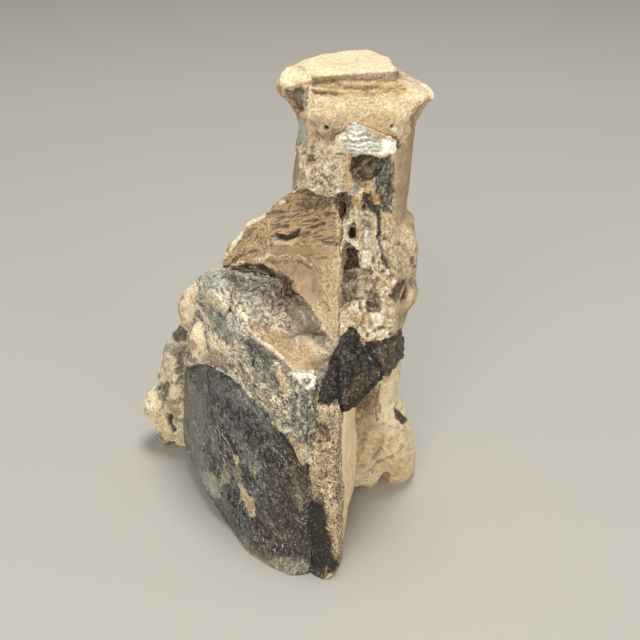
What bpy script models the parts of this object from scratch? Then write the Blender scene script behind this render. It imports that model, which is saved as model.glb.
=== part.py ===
"""Fossil ichthyosaur bone block: a waisted limb bone standing on a broken mass of bone and mudstone.

The block stands free on its own broken base. +Z is up, the front (-Y) shows the broken bone face,
and the origin is the middle of the bounding box on the floor. Lengths are in metres, and mm() takes
points in millimetres.
"""

import math

import bmesh
import bpy
from mathutils import Matrix, Vector, noise

# Driving dimensions
HEIGHT = 0.147  # floor to the level top of the cap
SHAFT_WAIST = 0.0310  # width of the shaft at its narrowest, under the cap
SHAFT_DEPTH = 0.0300  # front to back of the shaft at its narrowest
SHAFT_SPLAY = 0.0026  # how far the shaft widens on each side towards its foot
CAP_WIDTH = 0.0415  # width of the flared end over the shaft
PLATE_REACH = 0.0816  # the dark plate's chord along the floor, heel to tip
PLATE_THICKNESS = 0.0085
PLATE_LEAN = 0.147  # how far the plate leans in, for each unit of height
BAND_THICKNESS = 0.0090  # the mottled band that caps the plate
BAND_PROUD = 0.0020  # how far the band stands out from the plate
GAP = 0.0003  # clearance between two pieces that touch

# The flange's thickness at shares of the way from the front ridge to its rim
FAN_DEPTHS = {0.0: 0.0090, 0.3: 0.0070, 0.6: 0.0050, 0.85: 0.0036, 1.0: 0.0024}

# The outer face is an upright arc that leans in: its bearings are degrees about the arc's middle
HEEL_TURN = 189.0
TIP_TURN = 249.6
ARC_MIDDLE = Vector((0.0298, 0.0398, 0.0))
ARC_RADIUS = PLATE_REACH / (2 * math.sin(math.radians(TIP_TURN - HEEL_TURN) / 2))

# The dark plate's upper edge, and the band's upper edge: bearing in degrees, height in millimetres
PLATE_TOP = ((189, 38), (201, 48), (210, 56), (222, 57), (232, 52.5), (237, 46.5), (244, 41), (246, 27))
BAND_TOP = ((195, 76), (205, 82), (213, 81), (219, 75.5), (228, 70.5), (238, 67), (244, 64), (249, 60))

MM = 0.001


def mm(*values):
    """A point or a size given in millimetres."""
    return Vector(values) * MM


# Materials


def material(name, colour, roughness):
    made = bpy.data.materials.new(name)
    made.use_nodes = True
    shader = made.node_tree.nodes["Principled BSDF"]
    shader.inputs["Base Color"].default_value = (*colour, 1.0)
    shader.inputs["Roughness"].default_value = roughness
    shader.inputs["Metallic"].default_value = 0.0
    made.diffuse_color = (*colour, 1.0)
    return made


# Closed shapes


def mesh_object(name, body):
    body.normal_update()
    mesh = bpy.data.meshes.new(name)
    body.to_mesh(mesh)
    body.free()
    made = bpy.data.objects.new(name, mesh)
    bpy.context.scene.collection.objects.link(made)
    return made


def chunk(*corners):
    """The solid that wraps these corner points, as a broken lump of stone does."""
    body = bmesh.new()
    for corner in corners:
        body.verts.new(corner)
    bmesh.ops.convex_hull(body, input=body.verts)
    loose = [v for v in body.verts if not v.link_faces]
    bmesh.ops.delete(body, geom=loose, context="VERTS")
    bmesh.ops.recalc_face_normals(body, faces=body.faces)
    return mesh_object("chunk", body)


def pebble(centre, radii, turn=(0.0, 0.0, 0.0)):
    """An ellipsoid, turned by degrees about X, Y and Z."""
    body = bmesh.new()
    bmesh.ops.create_icosphere(body, subdivisions=3, radius=1.0)
    spin = Matrix.Identity(3)
    for axis, degrees in zip("XYZ", turn):
        spin = Matrix.Rotation(math.radians(degrees), 3, axis) @ spin
    for v in body.verts:
        v.co = centre + spin @ Vector(a * b for a, b in zip(v.co, radii))
    return mesh_object("pebble", body)


def furrow(start, end, radius, count):
    """A groove between two points, as the row of balls that it cuts away."""
    return [pebble(start.lerp(end, i / (count - 1)), Vector((radius, radius, radius))) for i in range(count)]


def loft(sections, sides=28):
    """A body through level sections: each is (centre, half_x, half_y, squareness)."""
    body = bmesh.new()
    loops = []
    for centre, half_x, half_y, square in sections:
        loop = []
        for i in range(sides):
            turn = 2 * math.pi * i / sides
            c, s = math.cos(turn), math.sin(turn)
            x = half_x * math.copysign(abs(c) ** (2 / square), c)
            y = half_y * math.copysign(abs(s) ** (2 / square), s)
            loop.append(body.verts.new(centre + Vector((x, y, 0))))
        loops.append(loop)
    for low, high in zip(loops, loops[1:]):
        for i in range(sides):
            j = (i + 1) % sides
            body.faces.new((low[i], low[j], high[j], high[i]))
    body.faces.new(reversed(loops[0]))
    body.faces.new(loops[-1])
    bmesh.ops.recalc_face_normals(body, faces=body.faces)
    return mesh_object("loft", body)


def slab(front_rows, back_rows):
    """A slab between a front face and a back face, each given as rows of points."""
    body = bmesh.new()
    front = [[body.verts.new(p) for p in row] for row in front_rows]
    back = [[body.verts.new(p) for p in row] for row in back_rows]
    last_row, last = len(front) - 1, len(front[0]) - 1
    for r in range(last_row):
        for c in range(last):
            for side in (front, back):
                body.faces.new((side[r][c], side[r][c + 1], side[r + 1][c + 1], side[r + 1][c]))
    border = [(0, c) for c in range(last)] + [(r, last) for r in range(last_row)]
    border += [(last_row, c) for c in range(last, 0, -1)] + [(r, 0) for r in range(last_row, 0, -1)]
    for (r, c), (s, d) in zip(border, border[1:] + border[:1]):
        body.faces.new((front[r][c], front[s][d], back[s][d], back[r][c]))
    bmesh.ops.recalc_face_normals(body, faces=body.faces)
    return mesh_object("slab", body)


# Joining, cutting and breaking the surface


def bake(obj):
    """Replaces the object's mesh by what its modifiers make of it."""
    graph = bpy.context.evaluated_depsgraph_get()
    made = bpy.data.meshes.new_from_object(obj.evaluated_get(graph))
    old = obj.data
    obj.modifiers.clear()
    obj.data = made
    bpy.data.meshes.remove(old)


def discard(objects):
    for obj in list(objects):
        mesh = obj.data
        bpy.data.objects.remove(obj)
        bpy.data.meshes.remove(mesh)


def boolean(obj, others, operation, solver="EXACT"):
    group = bpy.data.collections.new("others")
    for other in others:
        group.objects.link(other)
    cut = obj.modifiers.new(operation.title(), "BOOLEAN")
    cut.operation = operation
    cut.operand_type = "COLLECTION"
    cut.collection = group
    cut.solver = solver
    bake(obj)
    discard(others)
    bpy.data.collections.remove(group)


def even_faces(obj, cell):
    """Covers the surface with even faces of about one cell, so that it can be roughened."""
    remesh = obj.modifiers.new("Remesh", "REMESH")
    remesh.mode = "VOXEL"
    remesh.voxel_size = cell
    bake(obj)


def triangle_count(obj):
    return sum(len(face.vertices) - 2 for face in obj.data.polygons)


def thin_out(obj, triangles):
    count = triangle_count(obj)
    if count > triangles:
        fewer = obj.modifiers.new("Decimate", "DECIMATE")
        fewer.ratio = triangles / count
        fewer.use_collapse_triangulate = True
        bake(obj)


def fracture(place):
    """How far a broken surface steps at a place: each cell of the break is its own tilted facet."""
    feature = noise.voronoi(place)[1][0]
    tilt = noise.cell_vector(feature * 7.3) - Vector((0.5, 0.5, 0.5))
    level = noise.noise(feature * 5.1)
    steepness = 1.6
    return level + steepness * tilt.dot(place - feature)


def roughen(obj, seed, swell, chip, size):
    """Moves the surface by soft swellings and by the steps of a fracture."""
    shift = Vector((seed * 1.7, seed * 0.9, seed * 2.3))
    body = bmesh.new()
    body.from_mesh(obj.data)
    body.normal_update()
    for v in body.verts:
        place = v.co / size + shift
        soft = noise.fractal(place, 0.9, 2.1, 3)
        v.co += v.normal * (swell * soft + chip * fracture(place))
    body.to_mesh(obj.data)
    body.free()


def keep_largest(obj):
    """Keeps the largest closed surface of a cut piece, without its scraps."""
    weld = GAP / 60
    body = bmesh.new()
    body.from_mesh(obj.data)
    bmesh.ops.remove_doubles(body, verts=body.verts, dist=weld)
    left = set(body.verts)
    shells = []
    while left:
        queue = [left.pop()]
        shell = set(queue)
        while queue:
            for edge in queue.pop().link_edges:
                for v in edge.verts:
                    if v in left:
                        left.discard(v)
                        shell.add(v)
                        queue.append(v)
        shells.append(shell)
    shells.sort(key=len)
    for shell in shells[:-1]:
        bmesh.ops.delete(body, geom=list(shell), context="VERTS")
    body.to_mesh(obj.data)
    body.free()


def swollen(obj, by):
    """A copy of the object, larger by a clearance all round."""
    sharpest = 2.0
    body = bmesh.new()
    body.from_mesh(obj.data)
    body.normal_update()
    moved = [(v, v.normal * by * min(v.calc_shell_factor(), sharpest)) for v in body.verts]
    for v, step in moved:
        v.co += step
    return mesh_object("swollen", body)


def stand_flat(obj):
    """Cuts the object off level at the floor, and closes the cut."""
    body = bmesh.new()
    body.from_mesh(obj.data)
    everything = list(body.verts) + list(body.edges) + list(body.faces)
    cut = bmesh.ops.bisect_plane(
        body, geom=everything, plane_co=(0, 0, 0), plane_no=(0, 0, -1), clear_outer=True
    )
    rim = [g for g in cut["geom_cut"] if isinstance(g, bmesh.types.BMEdge)]
    if rim:
        bmesh.ops.holes_fill(body, edges=rim)
        bmesh.ops.triangulate(body, faces=[f for f in body.faces if len(f.verts) > 3])
    bmesh.ops.recalc_face_normals(body, faces=body.faces)
    body.to_mesh(obj.data)
    body.free()


def stone(name, solids, finish, faces, seed, cuts=(), cell=0.0014, swell=0.0006, chip=0.0008, size=0.010):
    """One piece: its solids joined, hollowed by the cuts, broken up and thinned out."""
    obj = solids[0]
    obj.name = name
    if len(solids) > 1:
        boolean(obj, solids[1:], "UNION")
    even_faces(obj, cell)
    if cuts:
        boolean(obj, list(cuts), "DIFFERENCE")
        even_faces(obj, cell)
    roughen(obj, seed, swell, chip, size)
    thin_out(obj, faces)
    stand_flat(obj)
    keep_largest(obj)
    obj.data.materials.clear()
    obj.data.materials.append(finish)
    return obj


# The leaning outer face that the plate and the band lie on


def edge_height(edge, turn):
    """The height of an edge at a bearing, straight between its points."""
    for (a, low), (b, high) in zip(edge, edge[1:]):
        if turn <= b:
            return (low + (high - low) * (turn - a) / (b - a)) * MM
    return edge[-1][1] * MM


def wall_point(turn, z, out):
    """A point on the outer face: it leans in evenly at the tip, and bulges before it leans at the heel."""
    crest = 0.077
    along = min(max((turn - HEEL_TURN) / (TIP_TURN - HEEL_TURN), 0), 1)
    even = z / crest
    bulged = even * abs(even)
    lean = PLATE_LEAN * crest * (even * along + bulged * (1 - along))
    reach = ARC_RADIUS - lean + out
    angle = math.radians(turn)
    return ARC_MIDDLE + Vector((reach * math.cos(angle), reach * math.sin(angle), z))


def wall_slab(turns, low, high, out, thickness, steps):
    """A slab on the outer face between two heights that depend on the bearing."""
    front, back = [], []
    for i in range(steps + 1):
        heights = [low(turn) + (high(turn) - low(turn)) * i / steps for turn in turns]
        front.append([wall_point(turn, z, out) for turn, z in zip(turns, heights)])
        back.append([wall_point(turn, z, out - thickness) for turn, z in zip(turns, heights)])
    return slab(front, back)


def bearings(first, last, count):
    return [first + (last - first) * i / (count - 1) for i in range(count)]


# The upright bone


def shaft_section(z):
    """The shaft's outline at a height: it widens down from the waist under the cap."""
    waist_height, foot_height, depth_splay = 0.131, 0.085, 0.0046
    drop = min(max((waist_height - z) / (waist_height - foot_height), 0), 1.3)
    half = SHAFT_WAIST / 2 + SHAFT_SPLAY * drop**1.6
    depth = SHAFT_DEPTH / 2 + depth_splay * drop**2
    middle = Vector((0.0072 + 0.0030 * (1 - drop) ** 2, 0.0042 - 0.0005 * drop**2, z))
    return (middle, half, depth, 3.0)


def fan_rows():
    """The flange's front face as rows of points, from the bone's front ridge out to the thin rim."""
    heights = (117, 113, 109, 105, 101, 97, 93, 89, 84, 79, 74)
    inner = [mm(5.0, -12.5 - 0.010 * (118 - z) ** 1.6, z) for z in heights]
    rim = [
        mm(-5.0, 4, 113.5), mm(-9.5, 5, 109.8), mm(-15.3, 5, 105.4), mm(-22.2, 6, 100.0),
        mm(-27.2, 7, 93.2), mm(-30.6, 8, 85.8), mm(-23.5, 1, 89.5), mm(-17.0, -5, 92.6),
        mm(-10.0, -9, 91.0), mm(-4.5, -13, 85.6), mm(3.2, -19, 75.0),
    ]
    scoop = mm(0.2, 1.2, -1.6)
    rows = []
    for share in FAN_DEPTHS:
        row = [a.lerp(b, share) + scoop * math.sin(math.pi * share) for a, b in zip(inner, rim)]
        rows.append(row)
    return rows


def dish_hollow():
    """The scooped dish under the flange, as the shape that it cuts away."""
    return pebble(mm(-15.0, -17.5, 80.5), mm(18.5, 14.5, 13.5), (0, 22, -28))


def bone_shaft(finish):
    low, high, steps = 0.0745, 0.132, 9
    column = loft([shaft_section(low + (high - low) * i / steps) for i in range(steps + 1)])
    grooves = [
        pebble(mm(12.5, -15.0, 100), mm(2.4, 3.4, 17), (-3, 3, 0)),
        pebble(mm(17.0, -12.9, 118), mm(2.0, 3.4, 10), (0, 4, 0)),
        pebble(mm(-2.0, -14.5, 122), mm(3.0, 2.4, 6), (0, -10, 0)),
        *furrow(mm(15.6, -12.2, 110), mm(20.0, -11.8, 94), 0.0014, 9),
    ]
    pits = [
        pebble(mm(6.4, -12.6, 113.5), mm(2.4, 6.0, 3.8)),
        pebble(mm(8.7, -13.2, 105.6), mm(1.8, 6.0, 2.7)),
        pebble(mm(8.4, -13.8, 97), mm(2.5, 6.6, 5.4)),
        pebble(mm(13.6, -12.8, 113.5), mm(2.5, 5.4, 4.2)),
        pebble(mm(12.6, -11.8, 125), mm(4.8, 5.0, 4.8)),
        pebble(mm(7.0, -16.4, 86), mm(2.6, 4.6, 2.6)),
        pebble(mm(14.5, -16.0, 84), mm(2.8, 4.6, 2.2)),
    ]
    flank = pebble(mm(39.5, 5.0, 121), mm(15.5, 14.0, 22))
    back = pebble(mm(8.0, 46.5, 118), mm(17.0, 28.5, 26))
    fan = fan_rows()
    outward, skin = mm(0, -60, 24), mm(0.4, 1.2, -0.6)
    before_fan = slab([[p + outward for p in row] for row in fan], [[p + skin for p in row] for row in fan])
    under_fan = chunk(*[
        mm(x, y, z) for y in (-40, 0) for x, z in ((-40, 92), (-6, 92), (3, 76), (3, 60), (-40, 60))
    ])
    cuts = [*grooves, *pits, flank, back, before_fan, under_fan, dish_hollow()]
    return stone("bone_shaft", [column], finish, 3600, 3, cuts, cell=0.0011, swell=0.0005, chip=0.0006)


def bone_cap(finish):
    middle, half, depth, square = shaft_section(0.1305)
    over = CAP_WIDTH / 2
    flare = loft(
        [
            (middle, half, depth, square),
            (middle + mm(0.0, 0.2, 4.0), half + 0.0004, depth + 0.0004, 2.8),
            (middle + mm(-0.4, 0.8, 8.0), over - 0.0022, depth + 0.0022, 2.4),
            (middle + mm(-0.6, 1.4, 11.5), over + 0.0008, depth + 0.0040, 2.2),
            (middle + mm(-0.8, 1.4, 14.0), over, depth + 0.0036, 2.2),
        ]
    )
    middle_top = mm(6.0, 8.5, 0)
    rim = (
        (-9.8, 0.5), (-8.2, 5.8), (-4.2, 14.0), (1.4, 19.0), (7.2, 22.8), (15.7, 22.0),
        (19.6, 15.7), (21.2, 7.9), (20.6, 0.5), (14.0, -2.6), (0.0, -2.6),
    )
    plateau = chunk(*[
        middle_top.lerp(mm(x, y, 0), reach) + Vector((0, 0, HEIGHT - drop))
        for reach, drop in ((0.95, -0.0002), (1.03, 0.0016), (0.98, 0.0036), (0.80, 0.0120)) for x, y in rim
    ])
    slope = chunk(
        mm(-20, -40, 150), mm(44, -40, 150), mm(-20, -40, 112), mm(44, -40, 112),
        mm(-20, -2.9, 143.6), mm(44, -2.9, 141.5), mm(-20, -16.0, 130), mm(44, -16.0, 128.5),
        mm(-20, -3.1, 150), mm(44, -3.1, 150),
    )
    shelf = chunk(
        mm(21.0, -20, 145.2), mm(41, -20, 138.4), mm(21.0, -20, 156), mm(41, -20, 156),
        mm(19.0, 40, 142.0), mm(41, 40, 134.0), mm(19.0, 40, 156), mm(41, 40, 156),
    )
    hollow = pebble(mm(-9.5, -9.5, 138.0), mm(5.2, 7.5, 4.6), (0, 20, 0))
    under_lip = pebble(mm(-13.5, 4.0, 135.5), mm(6.0, 15.0, 5.0))
    return stone(
        "bone_cap", [flare, plateau], finish, 1000, 5, [slope, shelf, hollow, under_lip],
        cell=0.0012, swell=0.0004, chip=0.0005, size=0.008,
    )


def calcite_patch(finish):
    lens = chunk(
        mm(0.5, -12.5, 129.0), mm(8.0, -13.2, 128.5), mm(16.0, -13.0, 127.5), mm(20.0, -11.8, 128.5),
        mm(20.2, -10.8, 131.5), mm(14.0, -11.8, 133.5), mm(8.6, -10.8, 137.0), mm(5.0, -11.6, 133.8),
        mm(4.0, -8.5, 130.0), mm(17.0, -7.5, 129.5), mm(9.0, -7.0, 134.5),
    )
    return stone("calcite_patch", [lens], finish, 220, 7, cell=0.0009, swell=0.0003, chip=0.0004, size=0.005)


def flank_knob(finish):
    """Rough lumps of bone on the right flank, with a round pit."""
    low, high, count = 0.081, 0.101, 4
    lumps = []
    for i in range(count):
        share = i / (count - 1)
        bow = 0.002 * math.sin(5 * share)
        centre = Vector((0.0230 - 0.0006 * share**2, 0.0010 + bow, low + (high - low) * share))
        lumps.append(pebble(centre, mm(6.0 - 1.0 * share, 9.5 - 2.0 * share, 7.0), (0, 0, 25 * share)))
    lumps.append(pebble(mm(21.3, -8.0, 84.5), mm(5.2, 5.5, 7.0), (0, -12, 0)))
    pit = pebble(mm(25.0, -10.6, 85.0), mm(2.4, 5.0, 3.0))
    return stone(
        "flank_knob", lumps, finish, 480, 11, [pit], cell=0.0011, swell=0.0009, chip=0.0010, size=0.006
    )


def flange(finish):
    """The fan-shaped ledge: a scooped face from the front ridge out to a thin rim, over an undercut."""
    inward = Vector((0.30, 0.78, -0.55)).normalized()
    front = fan_rows()
    back = [[p + inward * depth for p in row] for row, depth in zip(front, FAN_DEPTHS.values())]
    ledge = slab(front, back)
    return stone("flange", [ledge], finish, 800, 13, cell=0.0010, swell=0.0005, chip=0.0007, size=0.007)


# The broken mass that the bone stands on


def bone_plate(finish):
    under_floor = -0.003
    body = wall_slab(
        bearings(190.5, 246.0, 15),
        lambda turn: under_floor,
        lambda turn: edge_height(PLATE_TOP, turn),
        0.0,
        PLATE_THICKNESS,
        steps=8,
    )
    return stone("bone_plate", [body], finish, 900, 17, cell=0.0015, swell=0.0009, chip=0.0008, size=0.016)


def rim_band(finish):
    overlap = 0.001
    body = wall_slab(
        bearings(195.5, 244.4, 14),
        lambda turn: edge_height(PLATE_TOP, turn) - overlap,
        lambda turn: edge_height(BAND_TOP, turn),
        BAND_PROUD,
        BAND_THICKNESS,
        steps=5,
    )
    cracks = [
        *furrow(mm(-30.5, 3.0, 81.5), mm(-20.0, -11.0, 72.0), 0.0012, 14),
        *furrow(mm(-33.6, -2.2, 58.5), mm(-29.0, -7.0, 58.0), 0.0015, 5),
        *furrow(mm(-21.0, -12.0, 69.0), mm(-12.5, -17.8, 66.8), 0.0011, 9),
    ]
    return stone(
        "rim_band", [body], finish, 1300, 19, cracks, cell=0.0012, swell=0.0006, chip=0.0011, size=0.009
    )


def spongy_edge(finish):
    """The broken end of the plate, from the floor at the tip up to the wedge."""
    prism = chunk(
        mm(-3.8, -34.2, -2), mm(1.2, -37.0, -2), mm(4.6, -36.2, 5), mm(6.8, -31.0, -2),
        mm(6.8, -26.0, -2), mm(0, -24.0, -2), mm(-2.4, -31.0, 26), mm(5.6, -31.5, 27),
        mm(6.4, -25.0, 28), mm(-3.0, -28.2, 41), mm(4.8, -29.2, 43), mm(-2.3, -26.2, 57),
        mm(1.4, -27.5, 60), mm(5.1, -26.2, 60.5), mm(6.0, -20.5, 58), mm(0, -18.5, 58),
    )
    return stone("spongy_edge", [prism], finish, 480, 23, cell=0.0012, swell=0.0005, chip=0.0007, size=0.007)


def black_wedge(finish):
    wedge = chunk(
        mm(8.6, -17.2, 80.0), mm(5.6, -18.5, 75.5), mm(3.6, -21.5, 70.0), mm(1.2, -25.8, 65.5),
        mm(-0.6, -27.2, 61.0), mm(2.0, -27.6, 57.5), mm(7.4, -22.4, 52.6), mm(13.0, -20.5, 56.5),
        mm(18.8, -16.6, 61.6), mm(14.6, -17.6, 70.5), mm(12.2, -16.6, 76.5), mm(9.5, -7.5, 76.0),
        mm(15.5, -8.0, 66.0), mm(8.5, -10.0, 58.0),
    )
    return stone("black_wedge", [wedge], finish, 300, 29, cell=0.0011, swell=0.0003, chip=0.0006, size=0.006)


def brown_lump(finish):
    lump = chunk(
        mm(14.2, -13.5, 76.5), mm(19.5, -12.5, 77.0), mm(23.6, -8.5, 74.5), mm(25.2, -5.5, 67.0),
        mm(24.2, -7.5, 60.5), mm(20.0, -13.5, 58.6), mm(16.0, -15.6, 66.0), mm(14.6, -14.6, 71.0),
        mm(22.0, 2.0, 74.0), mm(22.0, 2.0, 61.0), mm(14.0, 0.0, 70.0), mm(14.0, -2.0, 62.0),
    )
    return stone("brown_lump", [lump], finish, 360, 31, cell=0.0011, swell=0.0005, chip=0.0008, size=0.006)


def lining(finish):
    """The pale inner face of the plate, seen past its broken end."""
    body = chunk(
        mm(6.2, -22, -1), mm(8.4, -5, -1), mm(12.0, 3, -1), mm(5.0, 6, -1), mm(1.0, -22, -1),
        mm(7.2, -22, 58), mm(10.2, -8, 60), mm(13.0, 4, 58), mm(4.0, 6, 60), mm(1.5, -18, 58),
    )
    arch = pebble(mm(10.5, -6.0, -1.0), mm(7.0, 13.0, 4.0))
    return stone(
        "lining", [body], finish, 360, 37, [arch], cell=0.0013, swell=0.0007, chip=0.0005, size=0.011
    )


def rear_foot(finish):
    pillar = loft(
        [
            (mm(26.0, 14.5, -2), 0.0060, 0.0060, 2.4),
            (mm(25.6, 14, 5), 0.0080, 0.0078, 2.4),
            (mm(23.4, 12.5, 14), 0.0098, 0.0095, 2.4),
            (mm(20.6, 9.5, 25), 0.0090, 0.0100, 2.4),
            (mm(18.6, 7.5, 38), 0.0072, 0.0100, 2.4),
            (mm(17.8, 5.5, 52), 0.0070, 0.0110, 2.4),
            (mm(17.4, 5.5, 66), 0.0075, 0.0120, 2.4),
        ]
    )
    toe = pebble(mm(18.0, 9.5, 4.5), mm(3.6, 5.0, 6.5), (0, 12, 0))
    heel = pebble(mm(29.8, 11.5, 7.0), mm(3.6, 4.6, 5.5))
    notch = pebble(mm(22.3, 6.0, 1.0), mm(2.2, 8.0, 6.0), (0, 14, 0))
    tooth = chunk(
        mm(24.4, 8, 37.5), mm(25.6, 4.5, 36.5), mm(28.4, 5.0, 31.5),
        mm(27.4, 7.5, 30.0), mm(24.0, 9, 29.5), mm(25.6, 11, 33.5),
    )
    web = chunk(
        mm(11, 2.5, 1.5), mm(18, 4, 2.5), mm(22, 14, 1.5), mm(11, 13, 1.5),
        mm(12, -1, 60), mm(20, -1, 60), mm(20, 10, 62), mm(12, 10, 62),
    )
    solids = [pillar, toe, heel, tooth, web]
    return stone(
        "rear_foot", solids, finish, 760, 41, [notch], cell=0.0013, swell=0.0008, chip=0.0007, size=0.010
    )


def left_foot(finish):
    """Knobs of bone and mudstone stacked up the left end."""
    knobs = [
        pebble(mm(-58.8, 32, 17.5), mm(6.2, 7.0, 5.8), (0, -20, 0)),
        pebble(mm(-56.0, 34, 6.0), mm(4.6, 7.5, 9.0)),
        pebble(mm(-51.5, 30, 12.0), mm(6.0, 7.5, 11.0)),
        pebble(mm(-51.0, 31, 29.0), mm(6.2, 8.5, 10.5), (0, 15, 20)),
        pebble(mm(-47.5, 30, 42.0), mm(6.2, 9.5, 11.0), (0, 20, -20)),
        pebble(mm(-43.5, 29, 55.0), mm(6.0, 8.5, 11.0), (0, 10, 10)),
        pebble(mm(-37.5, 31, 58.0), mm(5.6, 8.0, 8.0), (20, 0, 0)),
        pebble(mm(-47.5, 41, 15.0), mm(9.5, 7.0, 12.0), (0, 0, 25)),
        pebble(mm(-43.0, 40, 32.0), mm(9.5, 7.5, 13.0), (12, 0, -20)),
        pebble(mm(-37.0, 37, 52.0), mm(9.0, 8.0, 14.0), (0, 12, 15)),
    ]
    return stone("left_foot", knobs, finish, 900, 43, cell=0.0015, swell=0.0014, chip=0.0016, size=0.008)


def nodule_upper(finish):
    egg = pebble(mm(-41.9, 19.2, 64.5), mm(5.6, 6.0, 9.2), (0, 14, 0))
    return stone("nodule_upper", [egg], finish, 200, 47, cell=0.0013, swell=0.0006, chip=0.0005, size=0.008)


def nodule_lower(finish):
    egg = pebble(mm(-38.5, 8.4, 58.2), mm(3.8, 4.6, 6.8), (0, -4, 0))
    return stone("nodule_lower", [egg], finish, 160, 53, cell=0.0012, swell=0.0004, chip=0.0004, size=0.007)


def core(finish):
    """The mudstone and crushed bone that fills the block, with a scooped dish at the front left."""
    low, high = 0.0035, 0.062
    inside = PLATE_THICKNESS / 2
    wall = [wall_point(turn, z, -inside) for turn in bearings(192, 244, 7) for z in (low, high)]
    mass = chunk(
        *wall, mm(4, 6, 3.5), mm(12, 12, 3.5), mm(14, 34, 4), mm(-10, 44, 4), mm(-38, 40, 3),
        mm(9, -4, 60), mm(15, 8, 62), mm(18, 26, 64), mm(-8, 38, 72), mm(-34, 34, 68),
    )
    shoulder = chunk(
        wall_point(197, 0.076, -inside), wall_point(206, 0.081, -inside), wall_point(214, 0.079, -inside),
        wall_point(228, 0.069, -inside), wall_point(243, 0.062, -inside), wall_point(200, 0.056, -inside),
        wall_point(243, 0.048, -inside), mm(10, -16, 78), mm(22, -2, 78), mm(21, 20, 84), mm(-5, 30, 88),
        mm(-26, 26, 82), mm(14, -8, 58), mm(22, 4, 60), mm(18, 26, 60), mm(-30, 34, 60),
    )
    knobs = [
        pebble(mm(-24, 38, 24), mm(12, 9, 14), (0, -20, 0)),
        pebble(mm(5, 37, 16), mm(11, 8, 11), (0, 20, 0)),
        pebble(mm(-6, 38, 42), mm(8, 8, 24), (0, -32, 0)),
        pebble(mm(-22, 31, 70), mm(11, 8, 10), (0, -15, 0)),
        pebble(mm(9, 27, 56), mm(10, 7, 20), (-14, 10, 0)),
        pebble(mm(7, 22, 82), mm(14, 9, 15), (-18, 0, 0)),
    ]
    hollow = pebble(mm(-22.0, 47.0, 46.0), mm(10, 9, 7))
    solids = [mass, shoulder, *knobs]
    return stone(
        "core", solids, finish, 1700, 59, [dish_hollow(), hollow], cell=0.0018, swell=0.0014, chip=0.0020, size=0.013
    )


# Assembly


def box(obj):
    points = [v.co for v in obj.data.vertices]
    low = Vector(min(p[i] for p in points) for i in range(3))
    high = Vector(max(p[i] for p in points) for i in range(3))
    return low, high


def boxes_meet(one, other):
    (low, high), (other_low, other_high) = box(one), box(other)
    return all(low[i] < other_high[i] + GAP and other_low[i] < high[i] + GAP for i in range(3))


def give_way(loser, winners):
    """Cuts the loser clear of the pieces that keep their shape, and drops the tiny faces this makes."""
    kept_share = 0.62
    met = [winner for winner in winners if boxes_meet(loser, winner)]
    for winner in met:
        # The exact solver loses the whole core at one of these cuts
        boolean(loser, [swollen(winner, GAP)], "DIFFERENCE", "MANIFOLD")
    keep_largest(loser)
    if met:
        thin_out(loser, round(kept_share * triangle_count(loser)))
        stand_flat(loser)
        keep_largest(loser)


def build():
    """Makes every piece, strongest first: a later one gives way where it would cross an earlier one."""
    tan = material("tan_mudstone", (0.42, 0.31, 0.19), 0.85)
    fan = material("brown_mudstone", (0.30, 0.20, 0.12), 0.75)
    cream = material("cream_mudstone", (0.50, 0.40, 0.26), 0.85)
    dark = material("dark_bone", (0.045, 0.045, 0.045), 0.45)
    brown = material("brown_bone", (0.20, 0.13, 0.075), 0.6)
    mottled = material("mottled_bone", (0.16, 0.16, 0.14), 0.6)
    white = material("calcite", (0.48, 0.50, 0.50), 0.35)
    pieces = [
        calcite_patch(white),
        bone_cap(tan),
        flange(fan),
        black_wedge(dark),
        nodule_upper(cream),
        nodule_lower(cream),
        rim_band(mottled),
        spongy_edge(brown),
        bone_plate(dark),
        brown_lump(brown),
        flank_knob(tan),
        rear_foot(cream),
        left_foot(cream),
        lining(cream),
        bone_shaft(brown),
        core(mottled),
    ]
    for i, piece in enumerate(pieces):
        give_way(piece, pieces[:i])
    return pieces


def clear_scene():
    for obj in list(bpy.data.objects):
        bpy.data.objects.remove(obj)


def stand_on_origin(pieces):
    """Moves the whole block so that the middle of its base is the origin."""
    boxes = [box(piece) for piece in pieces]
    low = Vector(min(b[0][i] for b in boxes) for i in range(3))
    high = Vector(max(b[1][i] for b in boxes) for i in range(3))
    shift = -Vector(((low.x + high.x) / 2, (low.y + high.y) / 2, low.z))
    for piece in pieces:
        piece.data.transform(Matrix.Translation(shift))
    return shift


clear_scene()
PIECES = build()
SHIFT = stand_on_origin(PIECES)
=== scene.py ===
import math

import bmesh
import bpy
import numpy as np
from mathutils import Matrix, Vector
from mathutils.bvhtree import BVHTree


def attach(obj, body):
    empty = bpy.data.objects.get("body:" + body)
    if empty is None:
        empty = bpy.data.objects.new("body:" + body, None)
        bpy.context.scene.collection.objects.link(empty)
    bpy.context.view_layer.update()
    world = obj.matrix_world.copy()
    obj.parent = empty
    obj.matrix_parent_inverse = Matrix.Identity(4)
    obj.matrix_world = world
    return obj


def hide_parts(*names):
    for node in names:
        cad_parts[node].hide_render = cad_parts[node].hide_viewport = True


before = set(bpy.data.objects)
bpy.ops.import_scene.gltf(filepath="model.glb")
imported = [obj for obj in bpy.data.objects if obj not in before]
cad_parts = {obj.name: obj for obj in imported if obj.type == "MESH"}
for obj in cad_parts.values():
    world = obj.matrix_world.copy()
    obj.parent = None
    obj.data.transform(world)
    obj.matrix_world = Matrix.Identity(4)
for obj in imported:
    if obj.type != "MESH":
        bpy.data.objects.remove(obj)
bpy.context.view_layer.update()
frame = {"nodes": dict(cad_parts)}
nodes = frame["nodes"]
mm = 0.001
print("frame loaded:", len(nodes), "solids")

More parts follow.
